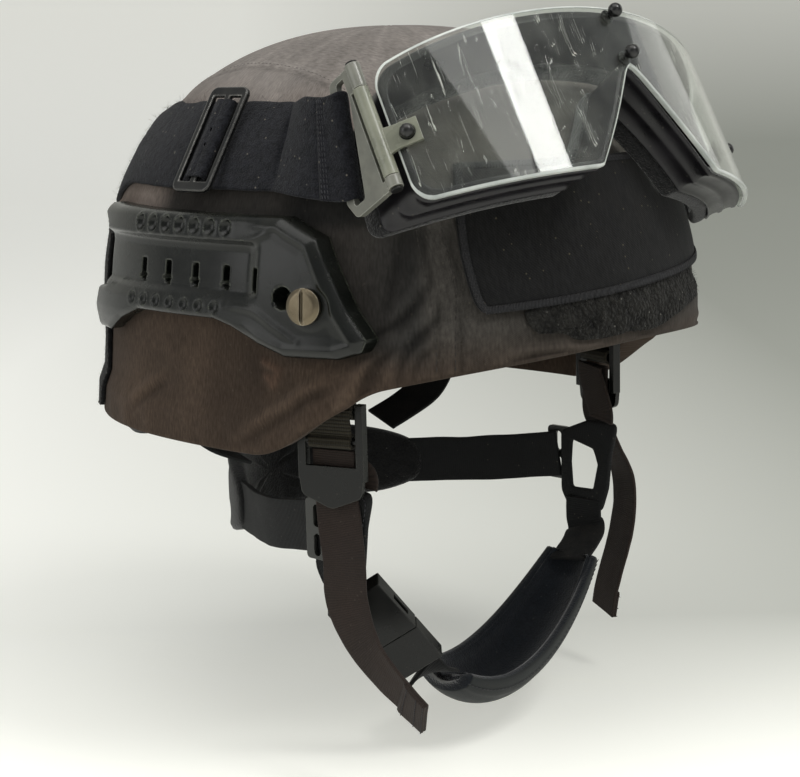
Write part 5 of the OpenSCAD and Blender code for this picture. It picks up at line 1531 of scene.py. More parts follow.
def makeLens():
    th = goggles["turn"] * np.sin(np.linspace(-np.pi / 2, np.pi / 2, 161))[:, None]
    t = edgeSteps(34, 2.0, 0.03)[None, :] / 2 + 0.5
    sheets = Sheets()
    rings = []
    for n, inset in ((0.0, 1.1), (-0.5, 0.1), (-1.9, 0.1), (-2.4, 0.6)):
        here = th * (1 - inset / goggles["girth"])
        w = mix(lensLow(th) + inset, lensTop(th) - inset, t)
        grid = seated(visor(here, w, n))
        rings.append(np.concatenate([grid[:, 0], grid[-1, 1:], grid[-2::-1, -1], grid[0, -2:0:-1],
                                     grid[:1, 0]]))
        if n in (0.0, -2.4):
            uv = np.stack(np.broadcast_arrays(np.radians(here) * 0.11, w * mm), -1)
            sheets.grid(grid, uv)
    # the edge ring, with its painted highlight
    sheets.grid(np.array(rings), slot=1)
    sheets.show("lensShown", ["lens", "lensEdgeLight"], "goggles", ["goggle_lens"], "lens_clear", sharp=28)


makeLens()


def sweptBack(p, clear):
    r = np.hypot(p[..., 1], p[..., 2])
    share = np.clip(np.abs(p[..., 0]) / goggles["sweptHalf"], 0, 1)
    s = goggles["sweptR"] * (1 - share ** 2.25) ** (1 / 2.25) + clear
    return np.stack([p[..., 0], p[..., 1] * s / r, p[..., 2] * s / r], -1)


# heading on the lens at each step round its outline: 0 to 40 on the upper edge, to 80 on the lower one
def outlineAt(k):
    upper = k <= 40
    i = np.where(upper, 20 - k, k - 60)
    return goggles["turn"] * np.sin(np.radians(90 * i / 20)), upper


def outlineSteps(count):
    k = np.linspace(0, 80, 4001)
    th, upper = outlineAt(k)
    flat = np.stack([th * 1.95, np.where(upper, lensTop(th), lensLow(th))], -1)
    run = runAlong(flat)
    return np.interp(np.linspace(0, run[-1], count), run, k)


def rimPoint(k, inset, n):
    th, upper = outlineAt(k)
    w = np.where(upper, lensTop(th) - inset, lensLow(th) + inset)
    return seated(visor(th * (1 - inset / goggles["girth"]), w, n))


def makeFrame():
    k = outlineSteps(321)
    outer = rimPoint(k, 1.5, goggles["frameTop"])
    inner = rimPoint(k, 4.1, goggles["frameTop"])
    backOut, backIn = sweptBack(outer, 8.3), sweptBack(inner, 8.3)
    away = unit(outer - inner)
    upper = (k <= 40) & (k > 0)
    ends = np.minimum(np.minimum(k, np.abs(k - 40)), 80 - k)
    calm = easeIn(ends / 3.0)
    section = [(0.0, 0.1), (0.015, 0.7), (0.06, 1.1), (0.12, 0.9), (0.17, 0.1), (0.3, -0.25), (0.42, 0.0),
               (0.47, 0.75),
               (0.52, 0.9), (0.57, 0.7), (0.62, 0.0), (0.74, -0.15), (0.86, 0.2), (0.92, 0.9), (0.96, 1.5),
               (0.99, 1.6), (1.0, 1.2)]
    depth = np.linalg.norm(backOut - outer, axis=-1)
    rows = []
    for s, out in section:
        push = np.where(upper, 0.75, 1.0) * calm * np.clip(depth / 22, 0.25, 1.2)
        rows.append(mix(outer, backOut, s) + away * (out * push)[:, None])
    for s in (1.0, 0.97, 0.8, 0.5, 0.2, 0.03, 0.0):
        rows.append(mix(inner, backIn, s))
    rows.append(rows[0])
    grid = closeRing(np.array(rows), ends=False)
    showGrid(grid, "frameShown", ["frame"], "goggles", ["goggle_frame"], "frame_rubber", sharp=60)

    a, b = rimPoint(k, 0.5, goggles["frameTop"]), rimPoint(k, 6.7, goggles["frameTop"])
    rows = []
    for angle in np.linspace(0, 2 * np.pi, 21):
        c, s = math.cos(angle), math.sin(angle)
        across = 0.5 + 0.5 * math.copysign(abs(c) ** 0.55, c)
        clear = 4.05 + 3.85 * math.copysign(abs(s) ** 0.6, s)
        lumps = 0.25 * waves(k * 4, k * 0, 95, 8, 30, 6) * max(0, s)
        rows.append(sweptBack(mix(a, b, across), clear - 0.1 + lumps * 0.3))
    foam = closeRing(np.array(rows), ends=False)
    foam[-1] = foam[0]
    piece = showGrid(foam, "foamShown", ["foam"], "goggles", ["goggle_foam"], "foam")


makeFrame()
print("goggles ready")


# chin harness: route points in millimetres on the wearer's right; the left side is mirrored
harness = {
    "screw": (-152.7, 21.6), "tail": (150.0, 12.0), "lockTop": (-95.4, -48.7, -24.9), "lockTurn": 197.0,
    "uneven": (1.8, 0.5, 10.0), "tabLay": 2.0, "tabThick": 1.8, "loopR": 1.9, "clear": 4.0, "hanger": 22.0,
    "shellIn": -9.5,
    "web": 20.0, "thick": 1.6, "legClear": 1.3, "junctionX": -88.0, "ringTop": -60.0, "ringLow": -106.0,
    "napeY": 100.0, "napeZ": -88.0, "napeCurve": 52.0, "napeHalf": 64.0, "napeW": 132.0, "napeH": 42.0,
    "napeT": 9.0,
}
lockAngle = math.radians(harness["lockTurn"])
lockSide = np.array([math.sin(lockAngle), -math.cos(lockAngle), 0.0])
lockOut = np.array([math.cos(lockAngle), math.sin(lockAngle), 0.0])


def lockPlace(side):
    return np.array(harness["lockTop"]) + (np.array(harness["uneven"]) if side == "left" else 0)


def napePlace(x, z, depth):
    x, z, depth = np.broadcast_arrays(np.asarray(x, float), z, depth)
    bend = 2 * harness["napeCurve"] * x / harness["napeHalf"] ** 2
    k = np.hypot(1, bend)
    y = harness["napeY"] - harness["napeCurve"] * (x / harness["napeHalf"]) ** 2
    return np.stack([x - depth * bend / k, y - depth / k, harness["napeZ"] + z], -1)


# a strap's turn round a bar of the lock
def turnRound(centre, radius, start, count, width):
    loop = []
    for a in np.radians(np.linspace(start, start + 360, count)):
        loop.append(centre + lockOut * radius * math.cos(a) + np.array([0, 0, 1.0]) * radius * math.sin(a))
    return np.array(loop)[:, None] + lockSide * edgeSteps(13, width)[None, :, None]


def makeFrontHanger(side):
    phi, z0 = harness["screw"]
    lay = harness["shellIn"] - harness["tabLay"] - harness["tabThick"] / 2
    top = [domeAt(phi, z, lay - harness["clear"] * float(easeIn((8 - z) / 8)))
           for z in (z0 + 8, z0, z0 - 8, 3)]
    lock = lockPlace(side)
    top += [lock + [0, 0, harness["loopR"] + 8], lock + [0, 0, harness["loopR"] + 2.4]]
    grid = onSide(side, strapGrid(top, lockSide, harness["hanger"], 8, 13, 0.2, 101))
    ring = turnRound(lock, harness["loopR"] + 0.9, 90, 25, harness["hanger"])
    sheets = Sheets()
    thicken(sheets, grid, harness["tabThick"])
    thicken(sheets, onSide(side, ring), harness["tabThick"] - 0.1, edge=1)
    name = "frontHanger" + side.capitalize()
    sheets.show(name, ["webbing"], "helmet", ["front_hanger_" + side], "webbing")
    lines = []
    for k in (-9.0, 9.0):
        column = np.abs(edgeSteps(13, harness["hanger"]) - k).argmin()
        row = grid[-20:, column]
        flip = np.array([-1.0, 1, 1]) if side == "left" else 1
        lines.append((row + lockOut * flip * 1.0, np.broadcast_to(lockOut * flip, row.shape)))
    sew(name + "Stitches", lines, "helmet", "elasticThread", spacing=2.4, length=1.8, thick=0.4)


def makeLockWrap(side):
    grid = turnRound(lockPlace(side) + [0, 0, -13], 2.7, 0, 29, harness["web"])
    flap = []
    for out, drop in ((3.6, 1.0), (3.9, -1.5), (3.4, -4.5), (2.6, -8.0), (2.3, -10.2)):
        flap.append(lockPlace(side) + lockOut * out + [0, 0, drop])
    flap = strapGrid(np.array(flap), lockSide, 21.0, 5, 13, 0.1, 107)
    sheets = Sheets()
    thicken(sheets, onSide(side, grid), harness["thick"] - 0.1, edge=1)
    thicken(sheets, onSide(side, flap), 1.4)
    name = "lockWrap" + side.capitalize()
    sheets.show(name, ["webbing"], "web_lock_" + side, ["lock_wrap_" + side], "webbing")


def legTop(side, n):
    return lockPlace(side) - lockOut * n + [0, 0, -17.2]


tails = {
    "right": {
        "points": [(-97.5, -55.5, -88), (-97, -56, -106), (-96, -62, -122), (-95, -73, -134),
                   (-94, -87, -144), (-94, -97, -150)],
        "sides": [None, None, (-0.05, 0.92, -0.38), (0.2, 0.75, -0.63), (0.35, 0.6, -0.72),
                  (0.41, 0.52, -0.75)],
        "past": 0.0, "pastSide": None,
    },
    "left": {
        "points": [(-98.5, -52.5, -74), (-102.5, -56.5, -88), (-102, -58.5, -103), (-101, -57, -118),
                   (-100, -53, -134), (-99, -49, -150), (-99, -47, -161)],
        "sides": [(-0.38, 0.92, 0)] * 7, "past": -0.3, "pastSide": (-0.24, 0.97, 0),
    },
}


def makeChinWebbing(side, setup):
    top = legTop(side, 1.4)
    past = top - lockSide * 1.2 + [setup["past"], 0, -27]
    places = [top, top + [0, 0, -12], past] + [np.array(p, float) for p in setup["points"]]
    sides = [lockSide, lockSide, unit(setup["pastSide"]) if setup["pastSide"] else lockSide]
    sides += [unit(s) if s else lockSide for s in setup["sides"]]
    grid = strapGrid(places, np.array(sides), harness["web"], 10, 13, 0.3, 111 if side == "right" else 117)
    legStart = legTop(side, 1.4 + harness["thick"] + 0.3 + harness["legClear"])
    low = np.array([harness["junctionX"] + harness["legClear"], -55, harness["ringTop"] + 5.5])
    fall = np.array([0, 0, -4.5])
    leg = strapGrid([legStart, legStart + fall, mix(legStart + fall, low, 0.5), low, low + fall], lockSide,
                    harness["web"] - 2, 8, 11, 0.2, 121)
    grid, leg = onSide(side, grid), onSide(side, leg)
    sheets = Sheets()
    thicken(sheets, grid, harness["thick"])
    thicken(sheets, leg, harness["thick"])
    # the end is folded over once and sewn
    normals = gridNormals(grid)
    away = unit(normals[-12:].mean((0, 1)))
    fold = grid[-15:] + away * (harness["thick"] * 0.92) * (1 if away[2] < 0.2 else -1)
    thicken(sheets, fold, harness["thick"] * 1.05)
    name = "chinWebbing" + side.capitalize()
    sheets.show(name, ["tail"], "helmet", ["chin_webbing_" + side], "tail_webbing")
    outer = fold + (fold - grid[-15:]) * 0.62
    lines = []
    for row in (2, 7, 12):
        line = outer[row, 2:-2]
        lines.append((line, np.broadcast_to(unit((fold - grid[-15:])[row].mean(0)), line.shape)))
    sew(name + "Stitches", lines, "helmet", "elasticThread", spacing=1.5, length=1.3, thick=0.4)


def makeJunction(side):
    outer = np.array([(-64.5, -60), (-46.5, -60), (-30, -67), (-30, -98), (-34.5, -106), (-54.5, -106),
                      (-58.5, -94), (-60.5, -76)], float)
    inner = np.array([(-46, -74.5), (-33, -71), (-32, -83), (-33, -95.5), (-46, -95), (-49, -82)],
                     float) + [-3.5, 0]
    centre = np.array([-45.0, -84.0])
    angles = np.linspace(0, 2 * np.pi, 145)

    def reachOf(outline):
        closed = np.concatenate([outline, outline[:1]])
        reach = np.full(angles.shape, 1e9)
        for a, b in zip(closed[:-1] - centre, closed[1:] - centre):
            d = np.stack([np.cos(angles), np.sin(angles)], -1)
            e = b - a
            den = d[:, 0] * e[1] - d[:, 1] * e[0]
            t = (a[0] * e[1] - a[1] * e[0]) / np.where(np.abs(den) < 1e-9, 1e-9, den)
            s = (a[0] * d[:, 1] - a[1] * d[:, 0]) / np.where(np.abs(den) < 1e-9, 1e-9, den)
            good = (t > 0) & (s >= -1e-6) & (s <= 1 + 1e-6)
            reach = np.where(good, np.minimum(reach, t), reach)
        smooth = reach.copy()
        for _ in range(3):
            smooth[:-1] = (np.roll(smooth[:-1], 1) + 2 * smooth[:-1] + np.roll(smooth[:-1], -1)) / 4
            smooth[-1] = smooth[0]
        return smooth

    far, near = reachOf(outer), reachOf(inner)
    t = edgeSteps(11, 2.0, 0.16) / 2 + 0.5
    reach = mix(near[:, None], far[:, None], t[None, :])
    y = centre[0] + reach * np.cos(angles)[:, None]
    z = centre[1] + reach * np.sin(angles)[:, None]
    k = -1 if side == "left" else 1
    half = 1.5 * np.sqrt(1 - (2 * t - 1) ** 10)
    bumps = 0.18 * waves(y, z, 131, 8, 22, 5) * np.sqrt(1 - (2 * t - 1) ** 2)
    sheets = Sheets()
    for sign in (-1, 1):
        x = harness["junctionX"] + sign * half + bumps * 0.5 + 0 * y
        sheets.grid(np.stack([x * k, y, z], -1))
    name = "junction" + side.capitalize()
    sheets.show(name, ["flatWebbing"], "helmet", ["junction_" + side], "webbing")
    lines = []
    for share in (0.14, 0.86):
        column = np.abs(t - share).argmin()
        x = (harness["junctionX"] - half[column] - 0.1) * k
        row = np.stack([np.full(len(y), x), y[:, column], z[:, column]], -1)
        lines.append((row, np.broadcast_to([-1.0 * k, 0, 0], row.shape)))
    sew(name + "Stitches", lines, "helmet", "elasticThread", spacing=2.3, length=1.8, thick=0.42)


def makeRearHanger(side):
    phi, z0 = harness["tail"]
    inner = harness["shellIn"] - harness["tabLay"] - harness["tabThick"] / 2
    places = [domeAt(phi, z0 + 12, inner), domeAt(phi, z0, inner), domeAt(phi, z0 - 11, inner),
              domeAt(phi, -22, inner - harness["clear"]), domeAt(phi - 1, -38, inner - harness["clear"]),
              np.array([-79.0, 55, -54]), napePlace(-54, harness["napeH"] / 2 + 0.6, 4)]
    n = domeNormal(phi, z0)
    across = unit([-n[1], n[0], 0])
    pad = [-0.576, -0.818, 0]
    makeStrap("rearHanger" + side.capitalize(), places, [across] * 5 + [pad, pad], harness["web"],
              harness["tabThick"], "helmet", ["rear_hanger_" + side], seed=141, side=side)
    rearFrom = napePlace(-harness["napeW"] / 2 + 5, 0, 3.84)
    route = [rearFrom, (-80, 8, -85), (harness["junctionX"], -27.7, -79.5)]
    makeStrap("rearStrap" + side.capitalize(), route,
              [(0.1, 0.1, 0.99), (0, 0.1, 1), (0, 0, 1)], 23, 2.6, "helmet", ["rear_strap_" + side],
              steps=14, seed=143, wave=0.4, side=side)


for sideName in ("right", "left"):
    makeFrontHanger(sideName)
    makeLockWrap(sideName)
    makeChinWebbing(sideName, tails[sideName])
    makeJunction(sideName)
    makeRearHanger(sideName)


def padOutline(angles, w, h):
    c, s = np.cos(angles), np.sin(angles)
    r = (np.abs(c) ** 3 + np.abs(s) ** 3) ** (-1 / 3)
    return r * c * w / 2, r * s * h / 2


padRings = [(0.02, 0.0), (0.3, 0.0), (0.62, 0.0), (0.93, 0.02), (0.985, 0.09), (1.0, 0.22), (1.0, 0.62),
            (0.975, 0.78), (0.9, 0.92), (0.75, 0.98), (0.5, 1.0), (0.25, 1.0), (0.02, 1.0)]


def makeNapePad():
    angles = np.linspace(0, 2 * np.pi, 121)
    x, z = padOutline(angles, harness["napeW"], harness["napeH"])
    lobes = 1 - 0.05 * (0.5 + 0.5 * np.cos(3 * np.pi * x / 33)) * easeIn((-z - 8) / 10)
    rows = []
    for k, depth in padRings:
        channel = 0.0
        if 0.2 < depth:
            channel = -1.5 * sum(np.exp(-((k * x - c) / 1.6) ** 2) for c in (-33, -11, 11, 33)) * (k < 0.99)
        rows.append(napePlace(k * x, k * z * lobes, depth * harness["napeT"] + channel))
    grid = closeRing(np.array(rows))
    piece = showGrid(grid, "napePadShown", ["nape"], "helmet", ["nape_pad"], "nape_cloth")


makeNapePad()


# chin cup: a cradle with a raised line inside its rim
cup = {"right": (-40.0, -61, -150), "left": (62.0, -55, -121), "sag": (8.0, -57, -154), "thick": 4.0,
       "deep": 19.0, "wide": 40.0}


def cupLine(s):
    a, b, c = (np.array(cup[k]) for k in ("right", "left", "sag"))
    q = 2 * c - 0.5 * a - 0.5 * b
    s = np.asarray(s, float)[..., None]
    return (1 - s) ** 2 * a + 2 * s * (1 - s) * q + s ** 2 * b


def makeCup():
    s = np.linspace(0, 1, 110)
    opened = np.clip(np.sin(np.pi * mix(0.1, 0.93, s)), 0, 1) ** 0.6
    half = mix(harness["web"] + 2, cup["wide"], opened) / 2
    deep = mix(1.5, cup["deep"], opened)
    centre = cupLine(s)
    along = unit(cupLine(np.minimum(1, s + 0.02)) - cupLine(np.maximum(0, s - 0.02)))
    fall = unit(np.cross(along, [0.05, 1, 0.1]))
    down = np.where(fall[:, 2:] < 0, fall, -fall)
    fore = unit(np.cross(fall, along))
    rows, slots = [], []

    def put(slot, angle, lessWide, lessDeep, lift=0.0):
        a = math.radians(angle)
        rows.append(centre + fore * ((half - lessWide) * math.sin(a))[:, None]
                    + down * (deep * math.cos(a) - lessDeep - lift)[:, None])
        slots.append(slot)

    for angle in np.linspace(-90, 90, 33):
        ridge = 0.55 * math.exp(-((abs(angle) - 62) / 4.5) ** 2) - 0.3 * math.exp(-((abs(angle) - 52) / 4) ** 2)
        put(1, angle, -ridge * 0.6, -ridge * 0.4)
    put(1, 90, 0.3, 0.0, 0.7)
    put(0, 90, cup["thick"] / 2, 0.0, 1.5)
    put(0, 90, cup["thick"] - 0.3, 0.0, 0.9)
    for angle in np.linspace(90, -90, 33):
        swell = 0.7 * math.exp(-((abs(angle) - 66) / 9) ** 2)
        lessDeep = cup["thick"] * min(1.0, math.cos(math.radians(angle)) * 3 + 0.05) + swell
        put(0, angle, cup["thick"] + swell * 0.3, lessDeep)
    put(0, -90, cup["thick"] / 2, 0.0, 1.5)
    put(1, -90, 0.3, 0.0, 0.7)
    rows.append(rows[0])
    grid = np.array(rows)
    sheets = Sheets()
    sheets.grid(grid, slot=np.repeat(np.array(slots)[:len(rows) - 1], len(s) - 1))
    for end in (0, -1):
        ring = grid[:, end]
        sheets.grid(np.stack([ring, np.broadcast_to(ring.mean(0), ring.shape)]), slot=0)
    piece = sheets.show("chinCupShown", ["cupInner", "cupOuter"], "chin_set", ["chin_cup"], "cup_cloth")
    edge = [grid[3], grid[29]]
    out = [unit(grid[i] - grid[len(rows) - 4 - i]) for i in (3, 29)]
    sew("cupStitches", [(row + n * 0.25, n) for row, n in zip(edge, out)], "chin_set", "elasticThread",
        spacing=2.6, length=2.0, thick=0.4)


makeCup()


def makeCupStraps():
    fore = (0.1, -1, 0)
    left = np.array(cup["left"])
    places = [(86.2, -44.5, harness["ringLow"] + 6), (86.2, -44.5, harness["ringLow"] - 4),
              left + [23, 8.5, 6], left + [13, 4.0, 2.5], left + [-3.5, -0.8, -2.5]]
    grid = strapGrid(places, fore, harness["web"], 10, 13, 0.25, 151)
    sheets = Sheets()
    thicken(sheets, grid, harness["thick"])
    piece = sheets.show("cupStrapLeft", ["flatWebbing"])
    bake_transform(piece)
    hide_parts("cup_strap_left")
    top, end = np.array([-85.4, -48.2, -107.5]), np.array([-58.0, -60, -145])
    way = unit(end - top)
    route = [end + way * 3.4, end + [8, -1, -4.5], np.array(cup["right"]) + [-1.8, 0, 0.6]]
    makeStrap("cupStrapRight", route,
              [(0.55, -0.5, 0.6), (0.3, -0.8, 0.3), fore], harness["web"], harness["thick"], "chin_set",
              ["cup_strap_right"], seed=153)


makeCupStraps()
print("harness ready")


# comfort pads, puffed by a short cloth simulation
pads = {
    "crown": {"node": "crown_pad", "size": (120, 120), "key": "pad"},
    "front": {"node": "front_pad", "at": (-90, 41), "size": (110, 52), "key": "pad"},
    "rear": {"node": "rear_pad", "at": (90, -38), "size": (148, 62), "key": "darkPad"},
    "sideFrontRight": {"node": "side_pad_front_right", "at": (-158, 57), "size": (74, 50), "key": "pad"},
    "sideRearRight": {"node": "side_pad_rear_right", "at": (142, 53), "size": (74, 50), "key": "pad"},
    "sideFrontLeft": {"node": "side_pad_front_left", "at": (-158, 57), "size": (74, 50), "key": "pad",
                      "mirror": True},
    "sideRearLeft": {"node": "side_pad_rear_left", "at": (142, 53), "size": (74, 50), "key": "pad",
                     "mirror": True},
}


def puff(piece, cap, pressure=4.0):
    start = np.array([v.co[:] for v in piece.data.vertices])
    cloth = piece.modifiers.new("puff", "CLOTH")
    cloth.settings.use_pressure = True
    cloth.settings.uniform_pressure_force = pressure
    cloth.settings.quality = 4
    cloth.settings.effector_weights.gravity = 0
    cloth.point_cache.frame_start, cloth.point_cache.frame_end = 1, 14
    for step in range(1, 15):
        scene.frame_set(step)
    shape = piece.evaluated_get(bpy.context.evaluated_depsgraph_get()).data
    moved = np.array([v.co[:] for v in shape.vertices]) - start
    size = np.linalg.norm(moved, axis=1, keepdims=True)
    kept = start + moved * np.minimum(1, cap / np.maximum(size, 1e-9))
    piece.modifiers.clear()
    piece.data.vertices.foreach_set("co", kept.astype(np.float32).ravel())
    piece.data.update()
    scene.frame_set(1)


def makePad(name, setup):
    angles = np.linspace(0, 2 * np.pi, 61)
    w, h = setup["size"]
    x, z = padOutline(angles, w - 3, h - 3)
    rows = []
    for k, depth in padRings:
        back = -13.1 - (0.6 + depth * 17.4)
        if "at" in setup:
            phi, middle = setup["at"]
            turn = phi + np.degrees(k * x / 108)
            low = rimHeight(turn) - 3 - middle - k * z
            rows.append(domeAt(turn, middle + k * z, back + 8 * easeIn(low / 10)))
        else:
            rows.append(np.stack([k * x, k * z, crownAt(k * x, k * z, back)[0]], -1))
    sheets = Sheets()
    sheets.grid(closeRing(np.array(rows) * ([-1, 1, 1] if setup.get("mirror") else 1)))
    label = name + "Pad"
    mesh = sheets.make(label, [setup["key"]])
    piece = addObject(label, mesh)
    remesh = piece.modifiers.new("even", "REMESH")
    remesh.mode = "VOXEL"
    remesh.voxel_size = 0.0055
    even = bake(piece)
    piece.modifiers.clear()
    piece.data = even
    even.materials.clear()
    even.materials.append(materials[setup["key"]])
    puff(piece, 0.0035)
    smooth = piece.modifiers.new("smooth", "SUBSURF")
    smooth.levels = smooth.render_levels = 1
    done = bake(piece)
    done.polygons.foreach_set("use_smooth", np.ones(len(done.polygons), bool))
    bpy.data.objects.remove(piece)
    piece = place(label, done, "helmet", [setup["node"]], "pad_cloth")


for padName, padSetup in pads.items():
    makePad(padName, padSetup)
print("pads ready")


# hard pieces keep their CAD form: a material, the edges' radius in millimetres and its segments
hardPieces = {
    "rail_screws": ("screw", 0.35, 2), "post_nuts": ("darkSteel", 0.25, 2),
    "tail_screws": ("darkSteel", 0.3, 2), "lens_studs": ("stud", 0.2, 2), "plate_pins": ("blackPin", 0.2, 2),
    "end_clip_right": ("clip", 0.35, 2), "end_clip_left": ("clip", 0.35, 2),
    "loop_plate_right": ("loopPlate", 0.6, 3), "loop_plate_left": ("loopPlate", 0.6, 3),
    "tri_glide_right": ("glide", 0.55, 3), "tri_glide_left": ("glide", 0.55, 3),
    "ladder_lock_right": ("lock", 0.7, 3), "ladder_lock_left": ("lock", 0.7, 3),
    "rear_adjuster_right": ("adjuster", 0.5, 2), "rear_adjuster_left": ("adjuster", 0.5, 2),
    "buckle_socket": ("lock", 0.9, 3), "buckle_plug": ("lock", 0.9, 3),
}
# accessory rails: a height over the dome inside the outline, in the (y, z) plane
rail = {
    "outline": [(84, 2), (87, 12), (83, 21), (75, 22), (75, 49), (81, 54), (78, 58), (-44, 57), (-61, 49),
                (-76, 20),
                (-83, 9), (-81, 4), (-72, 1), (-49, 1), (-36, 6), (-22, 12), (-12, 14.5), (40, 14.5), (56, 9),
                (70, 2)],
    "columns": 250, "rows": 84, "slots": 5, "slotFrom": -34.0, "slotPitch": 18.5, "scoops": 7,
    "scoopFrom": -17.0, "scoopPitch": 9.5, "screw": (-152.7, 21.6), "hole": (-157.7, 25.1),
}


def sideAt(y, z, off):
    lengths = np.where(y < 0, dome["frontLength"], dome["backLength"]) + off
    p = dome["planPower"]
    left = np.clip(levelShare(z, off) ** p - (np.abs(y) / lengths) ** p, 1e-6, None)
    x = -(dome["halfWidth"] + off) * left ** (1 / p)
    return np.stack(np.broadcast_arrays(x, y, z), -1)


def railHeight(y, z, setup):
    ring = np.array(setup["outline"] + setup["outline"][:1], float)
    edge = np.full(y.shape, 1e9)
    for a, b in zip(ring[:-1], ring[1:]):
        t = np.clip(((y - a[0]) * (b - a)[0] + (z - a[1]) * (b - a)[1]) / ((b - a) ** 2).sum(), 0, 1)
        edge = np.minimum(edge, np.hypot(y - a[0] - t * (b - a)[0], z - a[1] - t * (b - a)[1]))
    ahead = easeIn((y + 27) / -11)
    rear = np.interp(z, [3, 9, 13, 20, 23.5, 26, 42, 45, 47.5, 55, 58],
                     [8, 8.8, 9, 8.6, 7.2, 4.7, 4.7, 5.4, 8.8, 9.1, 8.2])
    front = np.interp(z, [1, 6, 14, 40, 50, 58], [8.6, 9.2, 9.0, 9.0, 9.1, 8.6])
    height = mix(rear, front, ahead)
    height = height + ahead * (0.95 * np.exp(-((edge - 3.6) / 1.5) ** 2) - 0.35 * easeIn((edge - 6) / 4))
    # a ridge that runs on from the lower lip and fades below the screw
    d, _, t = lineDistance(y, z, smoothLine([(-20, 21), (-34, 19.5), (-44, 14), (-56, 7.5)], 6))
    height = height + 0.75 * np.exp(-(d / 1.5) ** 2) * np.sin(np.pi * np.clip(t, 0.03, 0.97)) ** 0.5
    d, _, t = lineDistance(y, z, smoothLine([(-26, 47.5), (-34, 48.5), (-42, 53)], 6))
    height = height + 0.7 * np.exp(-(d / 1.5) ** 2) * np.sin(np.pi * np.clip(t, 0.03, 0.97)) ** 0.5
    height = height - 2.4 * (1 - np.sqrt(1 - (1 - np.clip(edge / 2.4, 0, 1)) ** 2))
    for i in range(setup["scoops"]):
        at = setup["scoopFrom"] + i * setup["scoopPitch"]
        r = np.hypot((y - at) / 3.1, (z - 52.2) / 3.5)
        height = height - 2.3 * np.clip(1 - r ** 3, 0, 1) + 0.35 * np.exp(-((r - 1.12) / 0.16) ** 2)
        r = np.hypot((y - at - 4) / 2.6, (z - 19.4) / 2.6)
        height = height - 1.5 * np.clip(1 - r ** 3, 0, 1) + 0.2 * np.exp(-((r - 1.15) / 0.18) ** 2)
    seat = sideAt(domeAt(*setup["screw"], 9.0)[1], setup["screw"][1], 9.0)
    r = np.hypot(y - seat[1], z - seat[2])
    height = mix(np.full(height.shape, 9.0), height, easeIn((r - 8.2) / 1.2))
    for i in range(setup["slots"]):
        at = setup["slotFrom"] + i * setup["slotPitch"]
        inside = easeIn((2.0 - np.abs(y - at)) / 0.7) * easeIn((5.0 - np.abs(z - 31.5)) / 0.7)
        height = mix(height, np.full(height.shape, 0.8), inside)
    hole = domeAt(*setup["hole"], 6.0)
    r = np.hypot(y - hole[1], z - hole[2])
    return mix(np.full(height.shape, 0.8), height, easeIn((r - 3.9) / 0.7))


def makeRail(side, setup):
    u = edgeSteps(setup["columns"], 2.0, 0.012)[:, None] / 2 + 0.5
    t = edgeSteps(setup["rows"], 2.0, 0.03)[None, :] / 2 + 0.5
    span = 2 + 56 * t
    last = np.interp(span, [2, 4, 12, 20.5, 22.5, 48.5, 50, 54, 58],
                     [84.3, 85, 86.8, 83.3, 75.2, 75.2, 77, 80.8, 78.2])
    y = mix(-82.9, last, u)
    low = np.interp(y, [-83, -81, -72, -49, -36, -22, -12, 40, 56, 70, 87],
                    [8.4, 4, 1, 1, 6, 12, 14.5, 14.5, 9, 2, 2])
    high = np.interp(y, [-83, -76, -61, -44, 78, 87], [9.2, 20, 49, 57, 58, 58])
    z = mix(low, high, t)
    height = railHeight(y, z, setup)
    top, back = sideAt(y, z, height), sideAt(y, z, np.full(y.shape, 0.6))
    top, back = onSide(side, top), onSide(side, back)
    sheets = Sheets()
    sheets.grid(top)
    sheets.grid(back)
    for a, b in ((top[0], back[0]), (top[-1], back[-1]), (top[:, 0], back[:, 0]), (top[:, -1], back[:, -1])):
        sheets.grid(np.stack([a, b]))
    name = "rail" + side.capitalize()
    sheets.show(name, ["rail"], "helmet", ["accessory_rail_" + side], "rail_plastic", sharp=55)


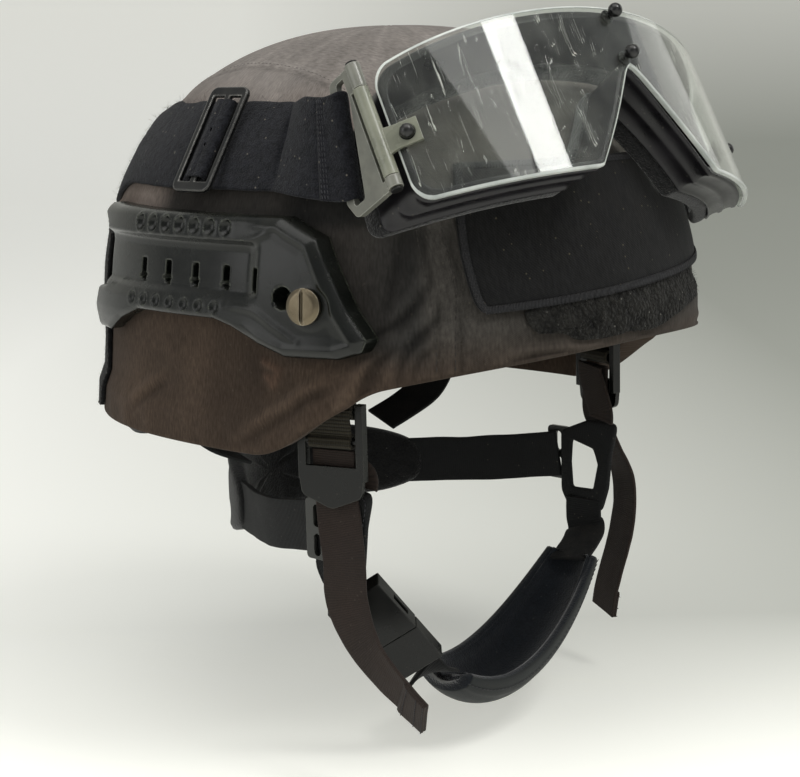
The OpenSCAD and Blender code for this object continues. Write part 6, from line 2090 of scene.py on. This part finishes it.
for sideName in ("right", "left"):
    makeRail(sideName, rail)
for nodeName, (key, width, segments) in hardPieces.items():
    bevelled(nodeName, key, width, segments)
for spot in cadNodes["hook_discs"].material_slots:
    spot.material = materials["hook"]


def makeGlideFold(side):
    phi = 174.5 if side == "right" else 5.5
    middle = float(strapMid(phi))
    n = domeNormal(phi, middle)
    centre = domeAt(phi, middle) + n * (0.3 + 2.4 + 1.6 + 1.2)
    down = unit(np.cross(n, [-n[1], n[0], 0]))
    down = down if down[2] < 0 else -down
    aside = unit(np.cross(down, n))
    t = edgeSteps(21, 37.0)
    loop = []
    for a in np.linspace(0, 2 * np.pi, 41):
        c, s = math.cos(a), math.sin(a)
        loop.append(n * (2.0 * math.copysign(abs(c) ** 0.7, c)) + aside * (5.0 * math.copysign(abs(s) ** 0.8,
                                                                                               s)))
    grid = (centre + np.array(loop)[:, None]) - down * t[None, :, None]
    grid = grid + n * (0.15 * waves(t * 2, t * 0, 161, 7, 20, 4))[None, :, None]
    sheets = Sheets()
    thicken(sheets, grid, 1.2, edge=1)
    name = "glideFold" + side.capitalize()
    sheets.show(name, ["elastic"], "strap_slider_" + side, ["glide_fold_" + side], "elastic")


for sideName in ("right", "left"):
    makeGlideFold(sideName)
print("hard pieces ready")

strapRear = elasticGrid[20:176:2, ::2] + elasticNormals[20:176:2, ::2] * 1.1
growFibres("strapFluff", [strapRear], "helmet", "fibre", density=2.3e5, length=3.0, spread=1.8, seed=15)
growFibres("strapEdgeFluff", [elasticGrid[22:150, -4:] + elasticNormals[22:150, -4:] * 0.9], "helmet",
           "fibre", density=4.0e5, length=5.0, spread=1.3, seed=17)
panelFace = panelGrid * np.array([1.008, 1.008, 1.0])
growFibres("panelFluff", [panelFace[::2, ::2]], "helmet", "fibre", density=1.0e5, length=1.8, spread=1.4,
           seed=19)
growFibres("panelEdgeFluff", [panelFace[:, :6], panelFace[:, -6:]], "helmet", "fibre",
           density=3.0e5, length=2.2, spread=1.5, seed=21)
print("fibres ready")
